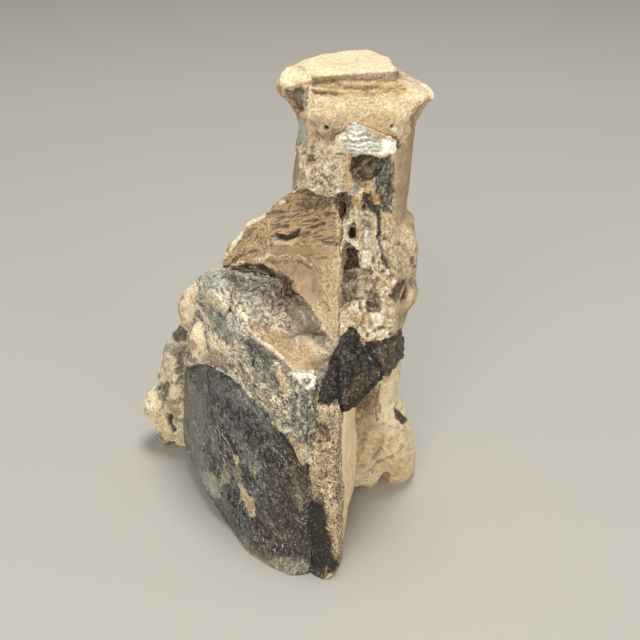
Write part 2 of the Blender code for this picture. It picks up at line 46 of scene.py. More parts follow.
# The camera of the photograph. Photo pixels below are its own, on a 640 x 640 picture
camera = {
    "place": (0.01562, -0.24126, 0.207),  # metres
    "tilt": 60,  # degrees up from straight down
    "lens": 50,
    "sensor": 36,
    "picture": 640,
}
eye = Vector(camera["place"])
turn = Matrix.Rotation(math.radians(camera["tilt"]), 3, "X")
pixelsPerUnit = camera["picture"] * camera["lens"] / camera["sensor"]
smallestPixel = 0.25  # millimetres on the nearest stone
stoneRange = range(150, 340, 2)  # millimetres from the camera
farAway = 9.0  # metres, past everything
middlePixel = camera["picture"] / 2


def makeCamera():
    lens = bpy.data.cameras.new("photoCamera")
    lens.lens = camera["lens"]
    lens.sensor_width = camera["sensor"]
    lens.clip_start = 0.01
    made = bpy.data.objects.new("photoCamera", lens)
    bpy.context.scene.collection.objects.link(made)
    made.location = eye
    made.rotation_euler = (math.radians(camera["tilt"]), 0, 0)
    bpy.context.scene.camera = made


def pixelRay(x, y):
    across, up = (x - middlePixel) / pixelsPerUnit, (middlePixel - y) / pixelsPerUnit
    return (turn @ Vector((across, up, -1))).normalized()


def toPixels(points):
    # Where points show in the photo, and how far from the camera they are
    seen = (points - np.array(eye)) @ np.array(turn)
    depth = -seen[:, 2]
    scale = pixelsPerUnit / depth
    return middlePixel + seen[:, 0] * scale, middlePixel - seen[:, 1] * scale, depth


def allTriangles(names):
    points, faces = [], []
    for name in names:
        mesh = nodes[name].data
        start = len(points)
        points += [v.co.copy() for v in mesh.vertices]
        faces += [[start + i for i in p.vertices] for p in mesh.polygons]
    return points, faces


stoneTree = BVHTree.FromPolygons(*allTriangles(nodes))


def onStone(x, y):
    # Where a photo pixel meets the frame, or comes closest to it, and the way the surface faces there
    ray = pixelRay(x, y)
    place, normal, _, _ = stoneTree.ray_cast(eye, ray)
    if place:
        return place, normal
    tries = [stoneTree.find_nearest(eye + ray * step * mm) for step in stoneRange]
    best = min(tries, key=lambda found: found[3])
    return best[0], best[1]


def runBetween(start, end):
    # The direction along the stone from one photo pixel to another
    return np.array((onStone(*end)[0] - onStone(*start)[0]).normalized())


# Depth of the frame behind every second photo pixel, to tell what the photo shows from what it hides
depthWindow = {"left": 130, "top": 36, "right": 450, "bottom": 600, "step": 2}


def makeDepthMap():
    w = depthWindow
    forward = turn @ Vector((0, 0, -1))
    rows = []
    for y in range(w["top"], w["bottom"], w["step"]):
        row = []
        for x in range(w["left"], w["right"], w["step"]):
            place = stoneTree.ray_cast(eye, pixelRay(x, y))[0]
            row.append((place - eye).dot(forward) if place else farAway)
        rows.append(row)
    return np.array(rows)


depthMap = makeDepthMap()


def shownShare(points, normals, reach):
    # 1 where the photo shows a point, 0 where it is turned away or hidden by more than reach millimetres
    w = depthWindow
    x, y, depth = toPixels(points)
    column = np.clip(np.round((x - w["left"]) / w["step"]).astype(int), 1, depthMap.shape[1] - 2)
    row = np.clip(np.round((y - w["top"]) / w["step"]).astype(int), 1, depthMap.shape[0] - 2)
    hit = np.full(len(points), farAway)
    for i in (-1, 0, 1):
        for j in (-1, 0, 1):
            hit = np.minimum(hit, np.abs(depthMap[row + i, column + j] - depth))
    ways = points - np.array(eye)
    ways /= np.linalg.norm(ways, axis=1)[:, None]
    facing = -np.einsum("ij,ij->i", normals, ways)
    return ramp(facing, -0.05, 0.2) * (1 - ramp(hit, reach * mm, (reach + 2) * mm))


# Noise on arrays of points, the same on every run
waveTable = np.random.default_rng(7).normal(size=(256, 3))
waveTable /= np.linalg.norm(waveTable, axis=1)[:, None]


def scramble(cell, seed):
    cell = cell.astype(np.int64)
    h = cell[:, 0] * 374761393 + cell[:, 1] * 668265263 + cell[:, 2] * 2246822519 + seed * 3266489917
    h &= 0xFFFFFFFF
    h = ((h ^ (h >> 15)) * 2246822519) & 0xFFFFFFFF
    h = ((h ^ (h >> 13)) * 3266489917) & 0xFFFFFFFF
    return h ^ (h >> 16)


def waves(points, size, seed=0):
    # Gradient noise, about -1 to 1, with bumps of this size in millimetres
    p = points / (size * mm) + seed * 7.31
    low = np.floor(p)
    f = p - low
    fade = f * f * f * (f * (f * 6 - 15) + 10)
    total = np.zeros(len(p))
    for corner in range(8):
        step = np.array([corner & 1, (corner >> 1) & 1, (corner >> 2) & 1])
        lean = waveTable[scramble(low + step, seed) & 255]
        weight = np.prod(np.where(step, fade, 1 - fade), axis=1)
        total += weight * np.einsum("ij,ij->i", lean, f - step)
    return total * 1.6


def layered(points, size, seed=0, octaves=4, roughness=0.55):
    total, height, norm = 0, 1.0, 0
    for i in range(octaves):
        total = total + height * waves(points, size / 2.03**i, seed + 11 * i)
        norm += height
        height *= roughness
    return total / norm


def creased(points, size, seed=0, octaves=4, roughness=0.55):
    # Sharp crests between rounded valleys, 0 to 1
    total, height, norm = 0, 1.0, 0
    for i in range(octaves):
        total = total + height * (1 - np.abs(waves(points, size / 2.07**i, seed + 13 * i)) * 1.6)
        norm += height
        height *= roughness
    return np.clip(total / norm, 0, 1)


def squeezed(points, run, share):
    # Points pressed together along a direction, which draws noise out into streaks that way
    return points - np.outer(points @ run, run) * share


def facets(points, size, seed=0):
    # Small flat breaks: each cell has its own level and slant, about -1 to 1
    p = points / (size * mm)
    low = np.floor(p)
    nearest = 9.0
    value = np.zeros(len(p))
    for x in (-1, 0, 1):
        for y in (-1, 0, 1):
            for z in (-1, 0, 1):
                cell = low + np.array([x, y, z])
                h = scramble(cell, seed)
                offset = p - cell - np.stack([h & 1023, (h >> 10) & 1023, (h >> 20) & 1023], 1) / 1023.0
                away = np.einsum("ij,ij->i", offset, offset)
                slant = np.einsum("ij,ij->i", waveTable[(h >> 7) & 255], offset)
                level = ((h >> 3) & 511) / 511.0 - 0.5
                value = np.where(away < nearest, level + slant, value)
                nearest = np.minimum(nearest, away)
    return value


def ramp(x, low, high):
    t = np.clip((x - low) / (high - low), 0, 1)
    return t * t * (3 - 2 * t)


# Colours of what the block is made of, as sRGB hex
def linear(hexColour):
    values = [int(hexColour[i : i + 2], 16) / 255 for i in (1, 3, 5)]
    return [v / 12.92 if v <= 0.04045 else ((v + 0.055) / 1.055) ** 2.4 for v in values]


palette = {
    "chalk": "#e9dfc3",
    "cream": "#dac8a2",
    "buff": "#c4ac84",
    "tan": "#a68e6c",
    "golden": "#bd9a66",
    "ochre": "#a88350",
    "caramel": "#a98054",
    "rust": "#875b3b",
    "brown": "#6d5742",
    "umber": "#3d3126",
    "soot": "#1b1814",
    "ink": "#2f2d2a",
    "slate": "#5a5a56",
    "steel": "#89887f",
    "ice": "#bbb9aa",
    "white": "#f4efde",
    "ash": "#958b76",
    "drab": "#8b7c64",
    "olive": "#8c7854",
    "pinkish": "#bfa88d",
    "moss": "#736d5b",
    "straw": "#f0d9ac",
}
tones = {name: np.array(linear(value)) for name, value in palette.items()}


def blendTones(share, names):
    # A colour for each share from 0 to 1, evenly through the named tones
    names = names.split()
    stops = np.linspace(0, 1, len(names))
    return np.stack([np.interp(share, stops, [tones[n][k] for n in names]) for k in range(3)], 1)


# Fine copies of the solids. In each piece's values, swell and grain are millimetres: how much its skin is
# grown, and the size of its faces. Amounts of relief are millimetres too


def fineCopy(name, sources, swell, grain, soften):
    # One closed skin of even faces around these solids, grown a little so that neighbours overlap
    body = bmesh.new()
    for source in sources:
        one = bmesh.new()
        one.from_mesh(nodes[source].data)
        bmesh.ops.remove_doubles(one, verts=one.verts, dist=1e-6)
        one.normal_update()
        moves = [(v, v.normal * swell * mm * min(v.calc_shell_factor(), 1.6)) for v in one.verts]
        for v, move in moves:
            v.co += move
        holder = bpy.data.meshes.new("holder")
        one.to_mesh(holder)
        one.free()
        body.from_mesh(holder)
        bpy.data.meshes.remove(holder)
    mesh = bpy.data.meshes.new(name)
    body.to_mesh(mesh)
    body.free()
    made = bpy.data.objects.new(name, mesh)
    bpy.context.scene.collection.objects.link(made)
    return evenSkin(made, grain, soften)


def applyModifiers(made):
    graph = bpy.context.evaluated_depsgraph_get()
    fine = bpy.data.meshes.new_from_object(made.evaluated_get(graph))
    old = made.data
    made.modifiers.clear()
    made.data = fine
    bpy.data.meshes.remove(old)
    fine.name = made.name


def evenSkin(made, grain, soften):
    remesh = made.modifiers.new("Remesh", "REMESH")
    remesh.mode = "VOXEL"
    remesh.voxel_size = grain * mm
    if soften:
        smooth = made.modifiers.new("Smooth", "SMOOTH")
        smooth.factor = 0.5
        smooth.iterations = soften
    applyModifiers(made)
    return made


def cutBlock(obj, planes):
    # Keeps the part of a closed shape on the inner side of each plane, and closes the cuts
    body = bmesh.new()
    body.from_mesh(obj.data)
    for place, way in planes:
        everything = list(body.verts) + list(body.edges) + list(body.faces)
        cut = bmesh.ops.bisect_plane(
            body, geom=everything, plane_co=place, plane_no=way, clear_outer=True
        )
        rim = [g for g in cut["geom_cut"] if isinstance(g, bmesh.types.BMEdge)]
        bmesh.ops.holes_fill(body, edges=rim)
    bmesh.ops.recalc_face_normals(body, faces=body.faces)
    body.to_mesh(obj.data)
    body.free()


def photoPlane(start, end):
    # The plane through the camera and two photo pixels, facing right of the way from start to end
    return eye, pixelRay(*start).cross(pixelRay(*end)).normalized()


def readPoints(mesh, what="co"):
    values = np.empty(len(mesh.vertices) * 3, np.float32)
    mesh.vertices.foreach_get(what, values)
    return values.reshape(-1, 3).astype(float)


def writePoints(mesh, points):
    mesh.vertices.foreach_set("co", points.astype(np.float32).ravel())
    mesh.update()


def smoothed(mesh, values, rounds):
    # Each row of values moves halfway to its neighbours' mean, this many times
    edges = np.empty(len(mesh.edges) * 2, np.int32)
    mesh.edges.foreach_get("vertices", edges)
    a, b = edges.reshape(-1, 2).T
    count = len(values)
    neighbours = np.maximum(np.bincount(a, minlength=count) + np.bincount(b, minlength=count), 1)
    for _ in range(rounds):
        sums = [np.bincount(a, v[b], count) + np.bincount(b, v[a], count) for v in values.T]
        values = (values + np.stack(sums, 1) / neighbours[:, None]) / 2
    return values


# Marks: features placed by photo pixels, as a line with a width or as an outlined area. Width, relief,
# soft and ragged are millimetres, cover is the share of the tones that shows, and patchy how much of the
# mark is broken up


def corners(pixels):
    # Photo pixels are written as x,y, x,y and so on; a list of pairs stays as it is
    return pixels if isinstance(pixels[0], tuple) else list(zip(pixels[::2], pixels[1::2]))


def line(tone, width, relief, pixels, **more):
    basic = {"kind": "line", "tone": tone, "width": width, "relief": relief, "pixels": corners(pixels)}
    return basic | {"soft": 0.2 + width * 0.6, "ragged": 0.3 + 0.4 * width} | more


def area(tone, relief, pixels, **more):
    basic = {"kind": "area", "tone": tone, "relief": relief, "pixels": corners(pixels)}
    return basic | {"soft": 1.3, "ragged": 1.3} | more


def awayFrom(points, places):
    # Distance of each point from a line through these places
    if len(places) == 1:
        return np.linalg.norm(points - np.array(places[0]), axis=1)
    best = np.full(len(points), farAway)
    for a, b in zip(places, places[1:]):
        a, b = np.array(a), np.array(b)
        span = b - a
        along = np.clip((points - a) @ span / max(span @ span, 1e-12), 0, 1)
        best = np.minimum(best, np.linalg.norm(points - a - along[:, None] * span, axis=1))
    return best


def insideBy(x, y, outline):
    # How many pixels each place lies inside a closed outline, less than 0 outside
    inside = np.zeros(len(x), bool)
    nearest = np.full(len(x), 1e9)
    for (ax, ay), (bx, by) in zip(outline, outline[1:] + outline[:1]):
        across = (ay > y) != (by > y)
        rise = by - ay if by != ay else 1e-9
        inside ^= across & (x < (bx - ax) * (y - ay) / rise + ax)
        length = max((bx - ax) ** 2 + (by - ay) ** 2, 1e-9)
        along = np.clip(((x - ax) * (bx - ax) + (y - ay) * (by - ay)) / length, 0, 1)
        nearest = np.minimum(nearest, np.hypot(x - ax - along * (bx - ax), y - ay - along * (by - ay)))
    return np.where(inside, nearest, -nearest)


def markShare(work, mark):
    # How much each point lies in a mark: 1 well inside, 0 outside its soft edge
    soft, ragged = mark["soft"], mark["ragged"]
    share = np.zeros(len(work["rest"]))
    if mark["kind"] == "line":
        hits = [onStone(x, y) for x, y in mark["pixels"]]
        places = [place for place, _ in hits]
        facing = sum((normal for _, normal in hits), Vector()).normalized()
        reach = (mark["width"] + ragged + soft) * mm
        near = np.all(work["rest"] > np.min(places, axis=0) - reach, axis=1)
        near &= np.all(work["rest"] < np.max(places, axis=0) + reach, axis=1)
        near &= work["facing"] @ np.array(facing) > -0.1
        if near.any():
            away = awayFrom(work["rest"][near] + work["jitter"][near] * ragged * mm, places) / mm
            share[near] = 1 - ramp(away, mark["width"] - soft / 2, mark["width"] + soft / 2)
        return share
    outline = mark["pixels"]
    x, y, scale = work["x"], work["y"], work["pixelSize"]
    margin = (ragged + soft) / smallestPixel
    left, top = np.min(outline, axis=0) - margin
    right, bottom = np.max(outline, axis=0) + margin
    near = (x > left) & (x < right) & (y > top) & (y < bottom) & (work["shown"] > 0)
    if near.any():
        shift = work["jitter"][near] * ragged
        deep = insideBy(x[near], y[near], outline) * scale[near] + shift[:, 0]
        share[near] = ramp(deep, -soft / 2, soft / 2) * work["shown"][near]
    return share


def paint(work, share, colours):
    work["tone"] += (colours - work["tone"]) * np.reshape(share, (-1, 1))


def coat(work, mix, low, high, names):
    # The first colours of a piece: a mix of noises from low to high runs through the named tones
    shade = ramp(mix, low, high)
    paint(work, 1, blendTones(shade, names))
    return shade


def sculpt(work, marks):
    # Applies the marks' relief and colour in turn
    for mark in marks:
        share = markShare(work, mark)
        broken = mark.get("patchy", 0)
        if broken:
            share = share * (1 - broken + broken * work["patch"])
        work["height"] += share * mark["relief"]
        if mark["tone"]:
            paint(work, share * mark.get("cover", 1), blendTones(work["speck"], mark["tone"]))
        for key in ("gloss", "grit"):
            if key in mark:
                work[key] += (mark[key] - work[key]) * share


def flecks(work, share, tone, size, stretch, run, seed, low, relief=0.0, gloss=None):
    # Thin grains in loose groups, drawn out along a direction, the fewer the higher low is
    value = waves(squeezed(work["rest"], run, 1 - 1 / stretch), size, seed)
    value += 0.25 * layered(work["rest"], 5, seed + 1, 3)
    grains = ramp(value, low, low + 0.12) * share
    work["height"] += grains * relief
    paint(work, grains, tones[tone])
    if gloss is not None:
        work["gloss"] += (gloss - work["gloss"]) * grains


def startWork(obj, reach=2.5):
    # What is known of each point of a skin, and its height, colour, gloss and grit so far
    places, facing = readPoints(obj.data), readPoints(obj.data, "normal")
    x, y, depth = toPixels(places)
    jitter = np.stack([layered(places, 3.0, seed, 4, 0.7) * 1.6 for seed in (101, 102, 103)], 1)
    return {
        "obj": obj, "rest": places, "facing": facing, "x": x, "y": y,
        "pixelSize": depth / pixelsPerUnit / mm,  # millimetres for each pixel
        "shown": shownShare(places, facing, reach),
        "jitter": jitter,
        "speck": ramp(layered(places, 0.8, 104, 3, 0.8), -0.5, 0.5),
        "patch": ramp(layered(places, 1.3, 105, 3, 0.75), -0.25, 0.25),
        "height": np.zeros(len(places)),
        "tone": np.tile(tones["tan"], (len(places), 1)),
        "gloss": np.zeros(len(places)),
        "grit": np.ones(len(places)),
    }


def startPiece(name, sources, v):
    return startWork(fineCopy(name, sources, v["swell"], v["grain"], v["soften"]))


# Where dirt and painted shade fill hollows, and wear and painted highlight touch crests: rounds of smoothing
# that give the skin around a point, fine and broad, and the millimetres below or above it at which they
# begin and are full
dirtWearAndLight = {
    "fineRounds": 5, "fineHollow": (0.01, 0.12), "fineCrest": (0.02, 0.12),
    "broadRounds": 30, "broadHollow": (0.05, 0.6), "broadCrest": (0.08, 0.5),
}


def finishWork(work, material, slot, replaced, dirtAndShade=0.6, dirtAndShadeTone="umber", wearAndHighlight=0.25, wearAndHighlightTone="cream"):
    # Moves the skin by its relief, darkens its hollows with dirt and painted shade, lightens its crests with
    # wear and painted highlight, and stores the colours
    obj, mesh = work["obj"], work["obj"].data
    places = work["rest"] + work["facing"] * (work["height"] * mm)[:, None]
    places[:, 2] = np.maximum(places[:, 2], 0)  # it stands on the floor
    writePoints(mesh, places)
    normals = readPoints(mesh, "normal")
    near = smoothed(mesh, places, dirtWearAndLight["fineRounds"])
    wide = smoothed(mesh, near, dirtWearAndLight["broadRounds"])
    fine = np.einsum("ij,ij->i", near - places, normals) / mm  # millimetres below the surface around
    broad = np.einsum("ij,ij->i", wide - places, normals) / mm
    hollow = 0.55 * ramp(fine, *dirtWearAndLight["fineHollow"]) + 0.75 * ramp(broad, *dirtWearAndLight["broadHollow"])
    crest = 0.6 * ramp(-fine, *dirtWearAndLight["fineCrest"]) + 0.5 * ramp(-broad, *dirtWearAndLight["broadCrest"])
    hollow, crest = np.clip(hollow, 0, 1), np.clip(crest, 0, 1)
    shade = blendTones(np.zeros(len(places)), dirtAndShadeTone)
    # Dirt and painted shade darken the hollows; wear and painted highlight lighten the crests
    paint(work, hollow * dirtAndShade, work["tone"] * 0.35 + shade * 0.3)
    paint(work, crest * wearAndHighlight, work["tone"] * 0.6 + tones[wearAndHighlightTone] * 0.55)
    writeAttribute(mesh, "tone", "FLOAT_COLOR", np.c_[np.clip(work["tone"], 0, 1), np.ones(len(places))])
    writeAttribute(mesh, "gloss", "FLOAT", np.clip(work["gloss"], 0, 1))
    writeAttribute(mesh, "grit", "FLOAT", np.clip(work["grit"], 0, 2))
    mesh.polygons.foreach_set("use_smooth", np.ones(len(mesh.polygons), bool))
    mesh.materials.clear()
    mesh.materials.append(material)
    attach(obj, "root")
    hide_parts(*replaced)
    print("made", obj.name, len(mesh.polygons) * 2, "triangles")
    return obj


def writeAttribute(mesh, name, kind, values):
    data = mesh.attributes.new(name, kind, "POINT").data
    data.foreach_set("color" if kind == "FLOAT_COLOR" else "value", values.astype(np.float32).ravel())


# Materials


def addNode(tree, kind, links=None, **settings):
    # A node with its settings; links gives each input a value or another node's output
    node = tree.nodes.new(kind)
    for key, value in settings.items():
        setattr(node, key, value)
    for key, value in (links or {}).items():
        if isinstance(value, bpy.types.NodeSocket):
            tree.links.new(value, node.inputs[key])
        else:
            node.inputs[key].default_value = value
    return node


def stoneMaterial(name, look):
    material = bpy.data.materials.new(name)
    material.use_nodes = True
    tree = material.node_tree
    shader = tree.nodes["Principled BSDF"]
    place = addNode(tree, "ShaderNodeTexCoord").outputs["Object"]
    tone = addNode(tree, "ShaderNodeAttribute", attribute_name="tone").outputs["Color"]
    gloss = addNode(tree, "ShaderNodeAttribute", attribute_name="gloss").outputs["Fac"]
    grit = addNode(tree, "ShaderNodeAttribute", attribute_name="grit").outputs["Fac"]
    # Noise of several sizes, as multiples of the grain
    sizes = {"grain": 1.0, "fine": 0.45, "cloud": 4.0, "dark": 1.3, "pale": 1.5, "lumps": 2.6}
    noise = {}
    for key, size in sizes.items():
        links = {"Vector": place, "Scale": 1000 / (look["grain"] * size), "Detail": 3.0, "Roughness": 0.65}
        noise[key] = addNode(tree, "ShaderNodeTexNoise", links).outputs["Fac"]
    # Light and dark grains, stronger where the stone is gritty, over soft clouds
    links = {0: noise["fine"], 1: 0.6, 2: noise["grain"]}
    grains = addNode(tree, "ShaderNodeMath", links, operation="MULTIPLY_ADD").outputs[0]
    share = {"Value": grains, "From Min": 0.5, "From Max": 1.1, "To Min": -1.0, "To Max": 1.0}
    swing = addNode(tree, "ShaderNodeMapRange", share).outputs["Result"]
    swing = addNode(tree, "ShaderNodeMath", {0: swing, 1: grit}, operation="MULTIPLY").outputs[0]
    links = {0: swing, 1: look["contrast"], 2: 1.0}
    swing = addNode(tree, "ShaderNodeMath", links, operation="MULTIPLY_ADD").outputs[0]
    swing = addNode(tree, "ShaderNodeMath", {0: swing, 1: 0.15}, operation="MAXIMUM").outputs[0]
    share = {"Value": noise["cloud"], "From Min": 0.3, "From Max": 0.7}
    share.update({"To Min": 1 - look["mottle"], "To Max": 1 + look["mottle"]})
    cloud = addNode(tree, "ShaderNodeMapRange", share).outputs["Result"]
    swing = addNode(tree, "ShaderNodeMath", {0: swing, 1: cloud}, operation="MULTIPLY").outputs[0]
    colour = addNode(tree, "ShaderNodeVectorMath", {0: tone, 3: swing}, operation="SCALE").outputs[0]
    # A few dark and pale flecks
    for key in ("dark", "pale"):
        share = {"Value": noise[key], "From Min": 0.60, "From Max": 0.67, "To Max": look[key + "Flecks"]}
        flecked = addNode(tree, "ShaderNodeMapRange", share).outputs["Result"]
        flecked = addNode(tree, "ShaderNodeMath", {0: flecked, 1: grit}, operation="MULTIPLY").outputs[0]
        fleck = (*linear(look[key + "Fleck"]), 1)
        links = {"Factor": flecked, 6: colour, 7: fleck}
        colour = addNode(tree, "ShaderNodeMix", links, data_type="RGBA").outputs[2]
    tree.links.new(colour, shader.inputs["Base Color"])
    # Shine from the gloss attribute, uneven from grain to grain
    share = {"Value": gloss, "To Min": look["rough"], "To Max": look["shine"]}
    rough = addNode(tree, "ShaderNodeMapRange", share).outputs["Result"]
    share = {"Value": noise["grain"], "From Min": 0.3, "From Max": 0.7, "To Min": -0.12, "To Max": 0.12}
    uneven = addNode(tree, "ShaderNodeMapRange", share).outputs["Result"]
    rough = addNode(tree, "ShaderNodeMath", {0: rough, 1: uneven}, operation="ADD").outputs[0]
    tree.links.new(rough, shader.inputs["Roughness"])
    # The same grains as relief, over lumps a few times their size
    links = {0: noise["lumps"], 1: 1.2, 2: grains}
    height = addNode(tree, "ShaderNodeMath", links, operation="MULTIPLY_ADD").outputs[0]
    height = addNode(tree, "ShaderNodeMath", {0: height, 1: grit}, operation="MULTIPLY").outputs[0]
    links = {"Height": height, "Strength": look["bump"], "Distance": look["bumpDepth"] * mm}
    bump = addNode(tree, "ShaderNodeBump", links)
    tree.links.new(bump.outputs["Normal"], shader.inputs["Normal"])
    shader.inputs["IOR"].default_value = look["ior"]
    return material


# Weathered mudstone: chalky and matt, clay-fine with grit of about 0.6 mm
mudstoneLook = {
    "grain": 0.6, "contrast": 0.4, "mottle": 0.10, "darkFlecks": 0.2, "paleFlecks": 0.3,
    "darkFleck": "#6b5238", "paleFleck": "#efe2c0", "rough": 0.85, "shine": 0.3, "bump": 0.8,
    "bumpDepth": 0.35, "ior": 1.5,
}
# Bone replaced by brown ironstone, split along its growth layers: satin, with fine cracks
layeredLook = dict(
    mudstoneLook, contrast=0.45, mottle=0.08, darkFlecks=0.25, paleFlecks=0.2,
    darkFleck="#5a432d", paleFleck="#e2cfa6", rough=0.6, shine=0.25, bump=0.7,
)
# Compact bone stained black, smooth enough for a soft sheen, with pale mineral dust in its pores
darkLook = dict(
    mudstoneLook, contrast=0.8, mottle=0.2, darkFlecks=0.4, paleFlecks=0.3,
    darkFleck="#14120f", paleFleck="#9a9382", rough=0.55, shine=0.25, bump=0.7, ior=1.4,
)
# Spongy bone, its cells filled with dark mineral: a sandpaper of grains under a millimetre
spongyLook = dict(
    mudstoneLook, grain=0.65, contrast=0.85, darkFlecks=0.7, paleFlecks=0.5, darkFleck="#4b3826",
    paleFleck="#dcc9a2", bump=1.0, bumpDepth=0.45,
)
# Calcite and quartz crusts: pale, with small bright faces
calciteLook = dict(
    mudstoneLook, grain=0.6, contrast=0.5, mottle=0.08, darkFlecks=0.25, paleFlecks=0.45,
    darkFleck="#8b8a78", paleFleck="#fbf8ea", rough=0.45, shine=0.12, ior=1.6,
)
mudstone = stoneMaterial("weatheredMudstone", mudstoneLook)
layeredBone = stoneMaterial("layeredIronstoneBone", layeredLook)
darkBone = stoneMaterial("blackCompactBone", darkLook)
spongyBone = stoneMaterial("spongyBone", spongyLook)
calcite = stoneMaterial("calciteCrust", calciteLook)
print("materials ready")


# Small crystals and grit lying on a skin, scattered by Geometry Nodes
grainInputs = [
    ("Geometry", "NodeSocketGeometry"), ("Density", "NodeSocketFloat"), ("Seed", "NodeSocketInt"),
    ("Smallest", "NodeSocketFloat"), ("Largest", "NodeSocketFloat"), ("Material", "NodeSocketMaterial"),
]


def makeGrainNodes():
    tree = bpy.data.node_groups.new("scatteredGrains", "GeometryNodeTree")
    sockets = {}
    for label, kind in grainInputs:
        sockets[label] = tree.interface.new_socket(label, in_out="INPUT", socket_type=kind).identifier
    tree.interface.new_socket("Geometry", in_out="OUTPUT", socket_type="NodeSocketGeometry")
    given = tree.nodes.new("NodeGroupInput").outputs
    # As many grains as the attribute of that name asks for
    wanted = addNode(tree, "GeometryNodeInputNamedAttribute", {"Name": "grains"}, data_type="FLOAT")
    links = {0: wanted.outputs["Attribute"], 1: given["Density"]}
    density = addNode(tree, "ShaderNodeMath", links, operation="MULTIPLY").outputs[0]
    links = {"Mesh": given["Geometry"], "Density": density, "Seed": given["Seed"]}
    points = addNode(tree, "GeometryNodeDistributePointsOnFaces", links, distribute_method="RANDOM")
    grain = addNode(tree, "GeometryNodeMeshCube", {"Size": (1, 0.8, 0.6)}).outputs["Mesh"]
    links = {"Min": (0, 0, 0), "Max": (6.28, 6.28, 6.28), "Seed": given["Seed"]}
    turned = addNode(tree, "FunctionNodeRandomValue", links, data_type="FLOAT_VECTOR").outputs["Value"]
    size = addNode(tree, "FunctionNodeRandomValue", data_type="FLOAT")
    for socket, label in ((2, "Smallest"), (3, "Largest")):
        tree.links.new(given[label], size.inputs[socket])
    tree.links.new(given["Seed"], size.inputs["Seed"])
    links = {"Points": points.outputs["Points"], "Instance": grain}
    links.update({"Rotation": turned, "Scale": size.outputs[1]})
    laid = addNode(tree, "GeometryNodeInstanceOnPoints", links).outputs["Instances"]
    solid = addNode(tree, "GeometryNodeRealizeInstances", {"Geometry": laid}).outputs["Geometry"]
    links = {"Geometry": solid, "Material": given["Material"]}
    dressed = addNode(tree, "GeometryNodeSetMaterial", links).outputs["Geometry"]
    addNode(tree, "NodeGroupOutput", {"Geometry": dressed})
    return tree, sockets


grainNodes, grainSockets = makeGrainNodes()


# Grains for each square millimetre where most are wanted, smallest and largest size in millimetres, seed
looseGrains = {
    "plateGrit": (0.4, 0.10, 0.28, 7),
    "bandCrystals": (0.7, 0.10, 0.34, 4),
    "dishCrystals": (1.3, 0.10, 0.34, 5),
    "dishGrains": (1.2, 0.12, 0.36, 6),
    "edgeGrit": (0.5, 0.15, 0.4, 8),
    "edgeGrains": (0.5, 0.15, 0.4, 9),
    "wedgeGrains": (1.2, 0.12, 0.4, 10),
}


def scatterGrains(name, work, wanted, material):
    # A piece made of the grains on one skin
    density, smallest, largest, seed = looseGrains[name]
    host = work["obj"].copy()
    host.data = work["obj"].data.copy()
    bpy.context.scene.collection.objects.link(host)
    offFloor = ramp(readPoints(host.data)[:, 2] / mm, 0.4, 0.8)
    writeAttribute(host.data, "grains", "FLOAT", np.clip(wanted, 0, 1) * offFloor)
    modifier = host.modifiers.new("grains", "NODES")
    modifier.node_group = grainNodes
    values = {
        "Density": density * 1e6, "Seed": seed, "Smallest": smallest * mm, "Largest": largest * mm,
        "Material": material,
    }
    for label, value in values.items():
        modifier[grainSockets[label]] = value
    ready = host.evaluated_get(bpy.context.evaluated_depsgraph_get())
    mesh = bpy.data.meshes.new_from_object(ready)
    made = bpy.data.objects.new(name, mesh)
    bpy.context.scene.collection.objects.link(made)
    bpy.data.objects.remove(host)
    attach(made, "root")
    print("scattered", name, len(mesh.polygons) * 2, "triangles")


def plainMaterial(name, colour, rough):
    material = bpy.data.materials.new(name)
    material.use_nodes = True
    shader = material.node_tree.nodes["Principled BSDF"]
    shader.inputs["Base Color"].default_value = (*linear(colour), 1)
    shader.inputs["Roughness"].default_value = rough
    return material


# Clear calcite crystals, cream grit of broken bone and black mineral grains
brightCrystal = plainMaterial("calciteCrystal", "#cdc8b8", 0.2)
creamGrit = plainMaterial("creamBoneGrit", "#b0a68f", 0.6)
blackGrain = plainMaterial("blackMineralGrain", "#2b241c", 0.3)


# The upright bone: flared cap, waisted shaft and the rough knob on its right flank
uprightBone = {
    "swell": 0.25, "grain": 0.41, "soften": 7, "ridges": 1.1, "rock": 0.5, "chips": 0.35, "seams": 0.5,
    # Heights in millimetres: the cap's foot, the riser's foot and the flat top
    "capFoot": 129.5, "riserFoot": 141.0, "flatTop": 145.6,
    # Where the cap's slope begins and the broken column ends, as photo columns
    "slopeLeft": (308, 312), "columnRight": (390, 398),
}


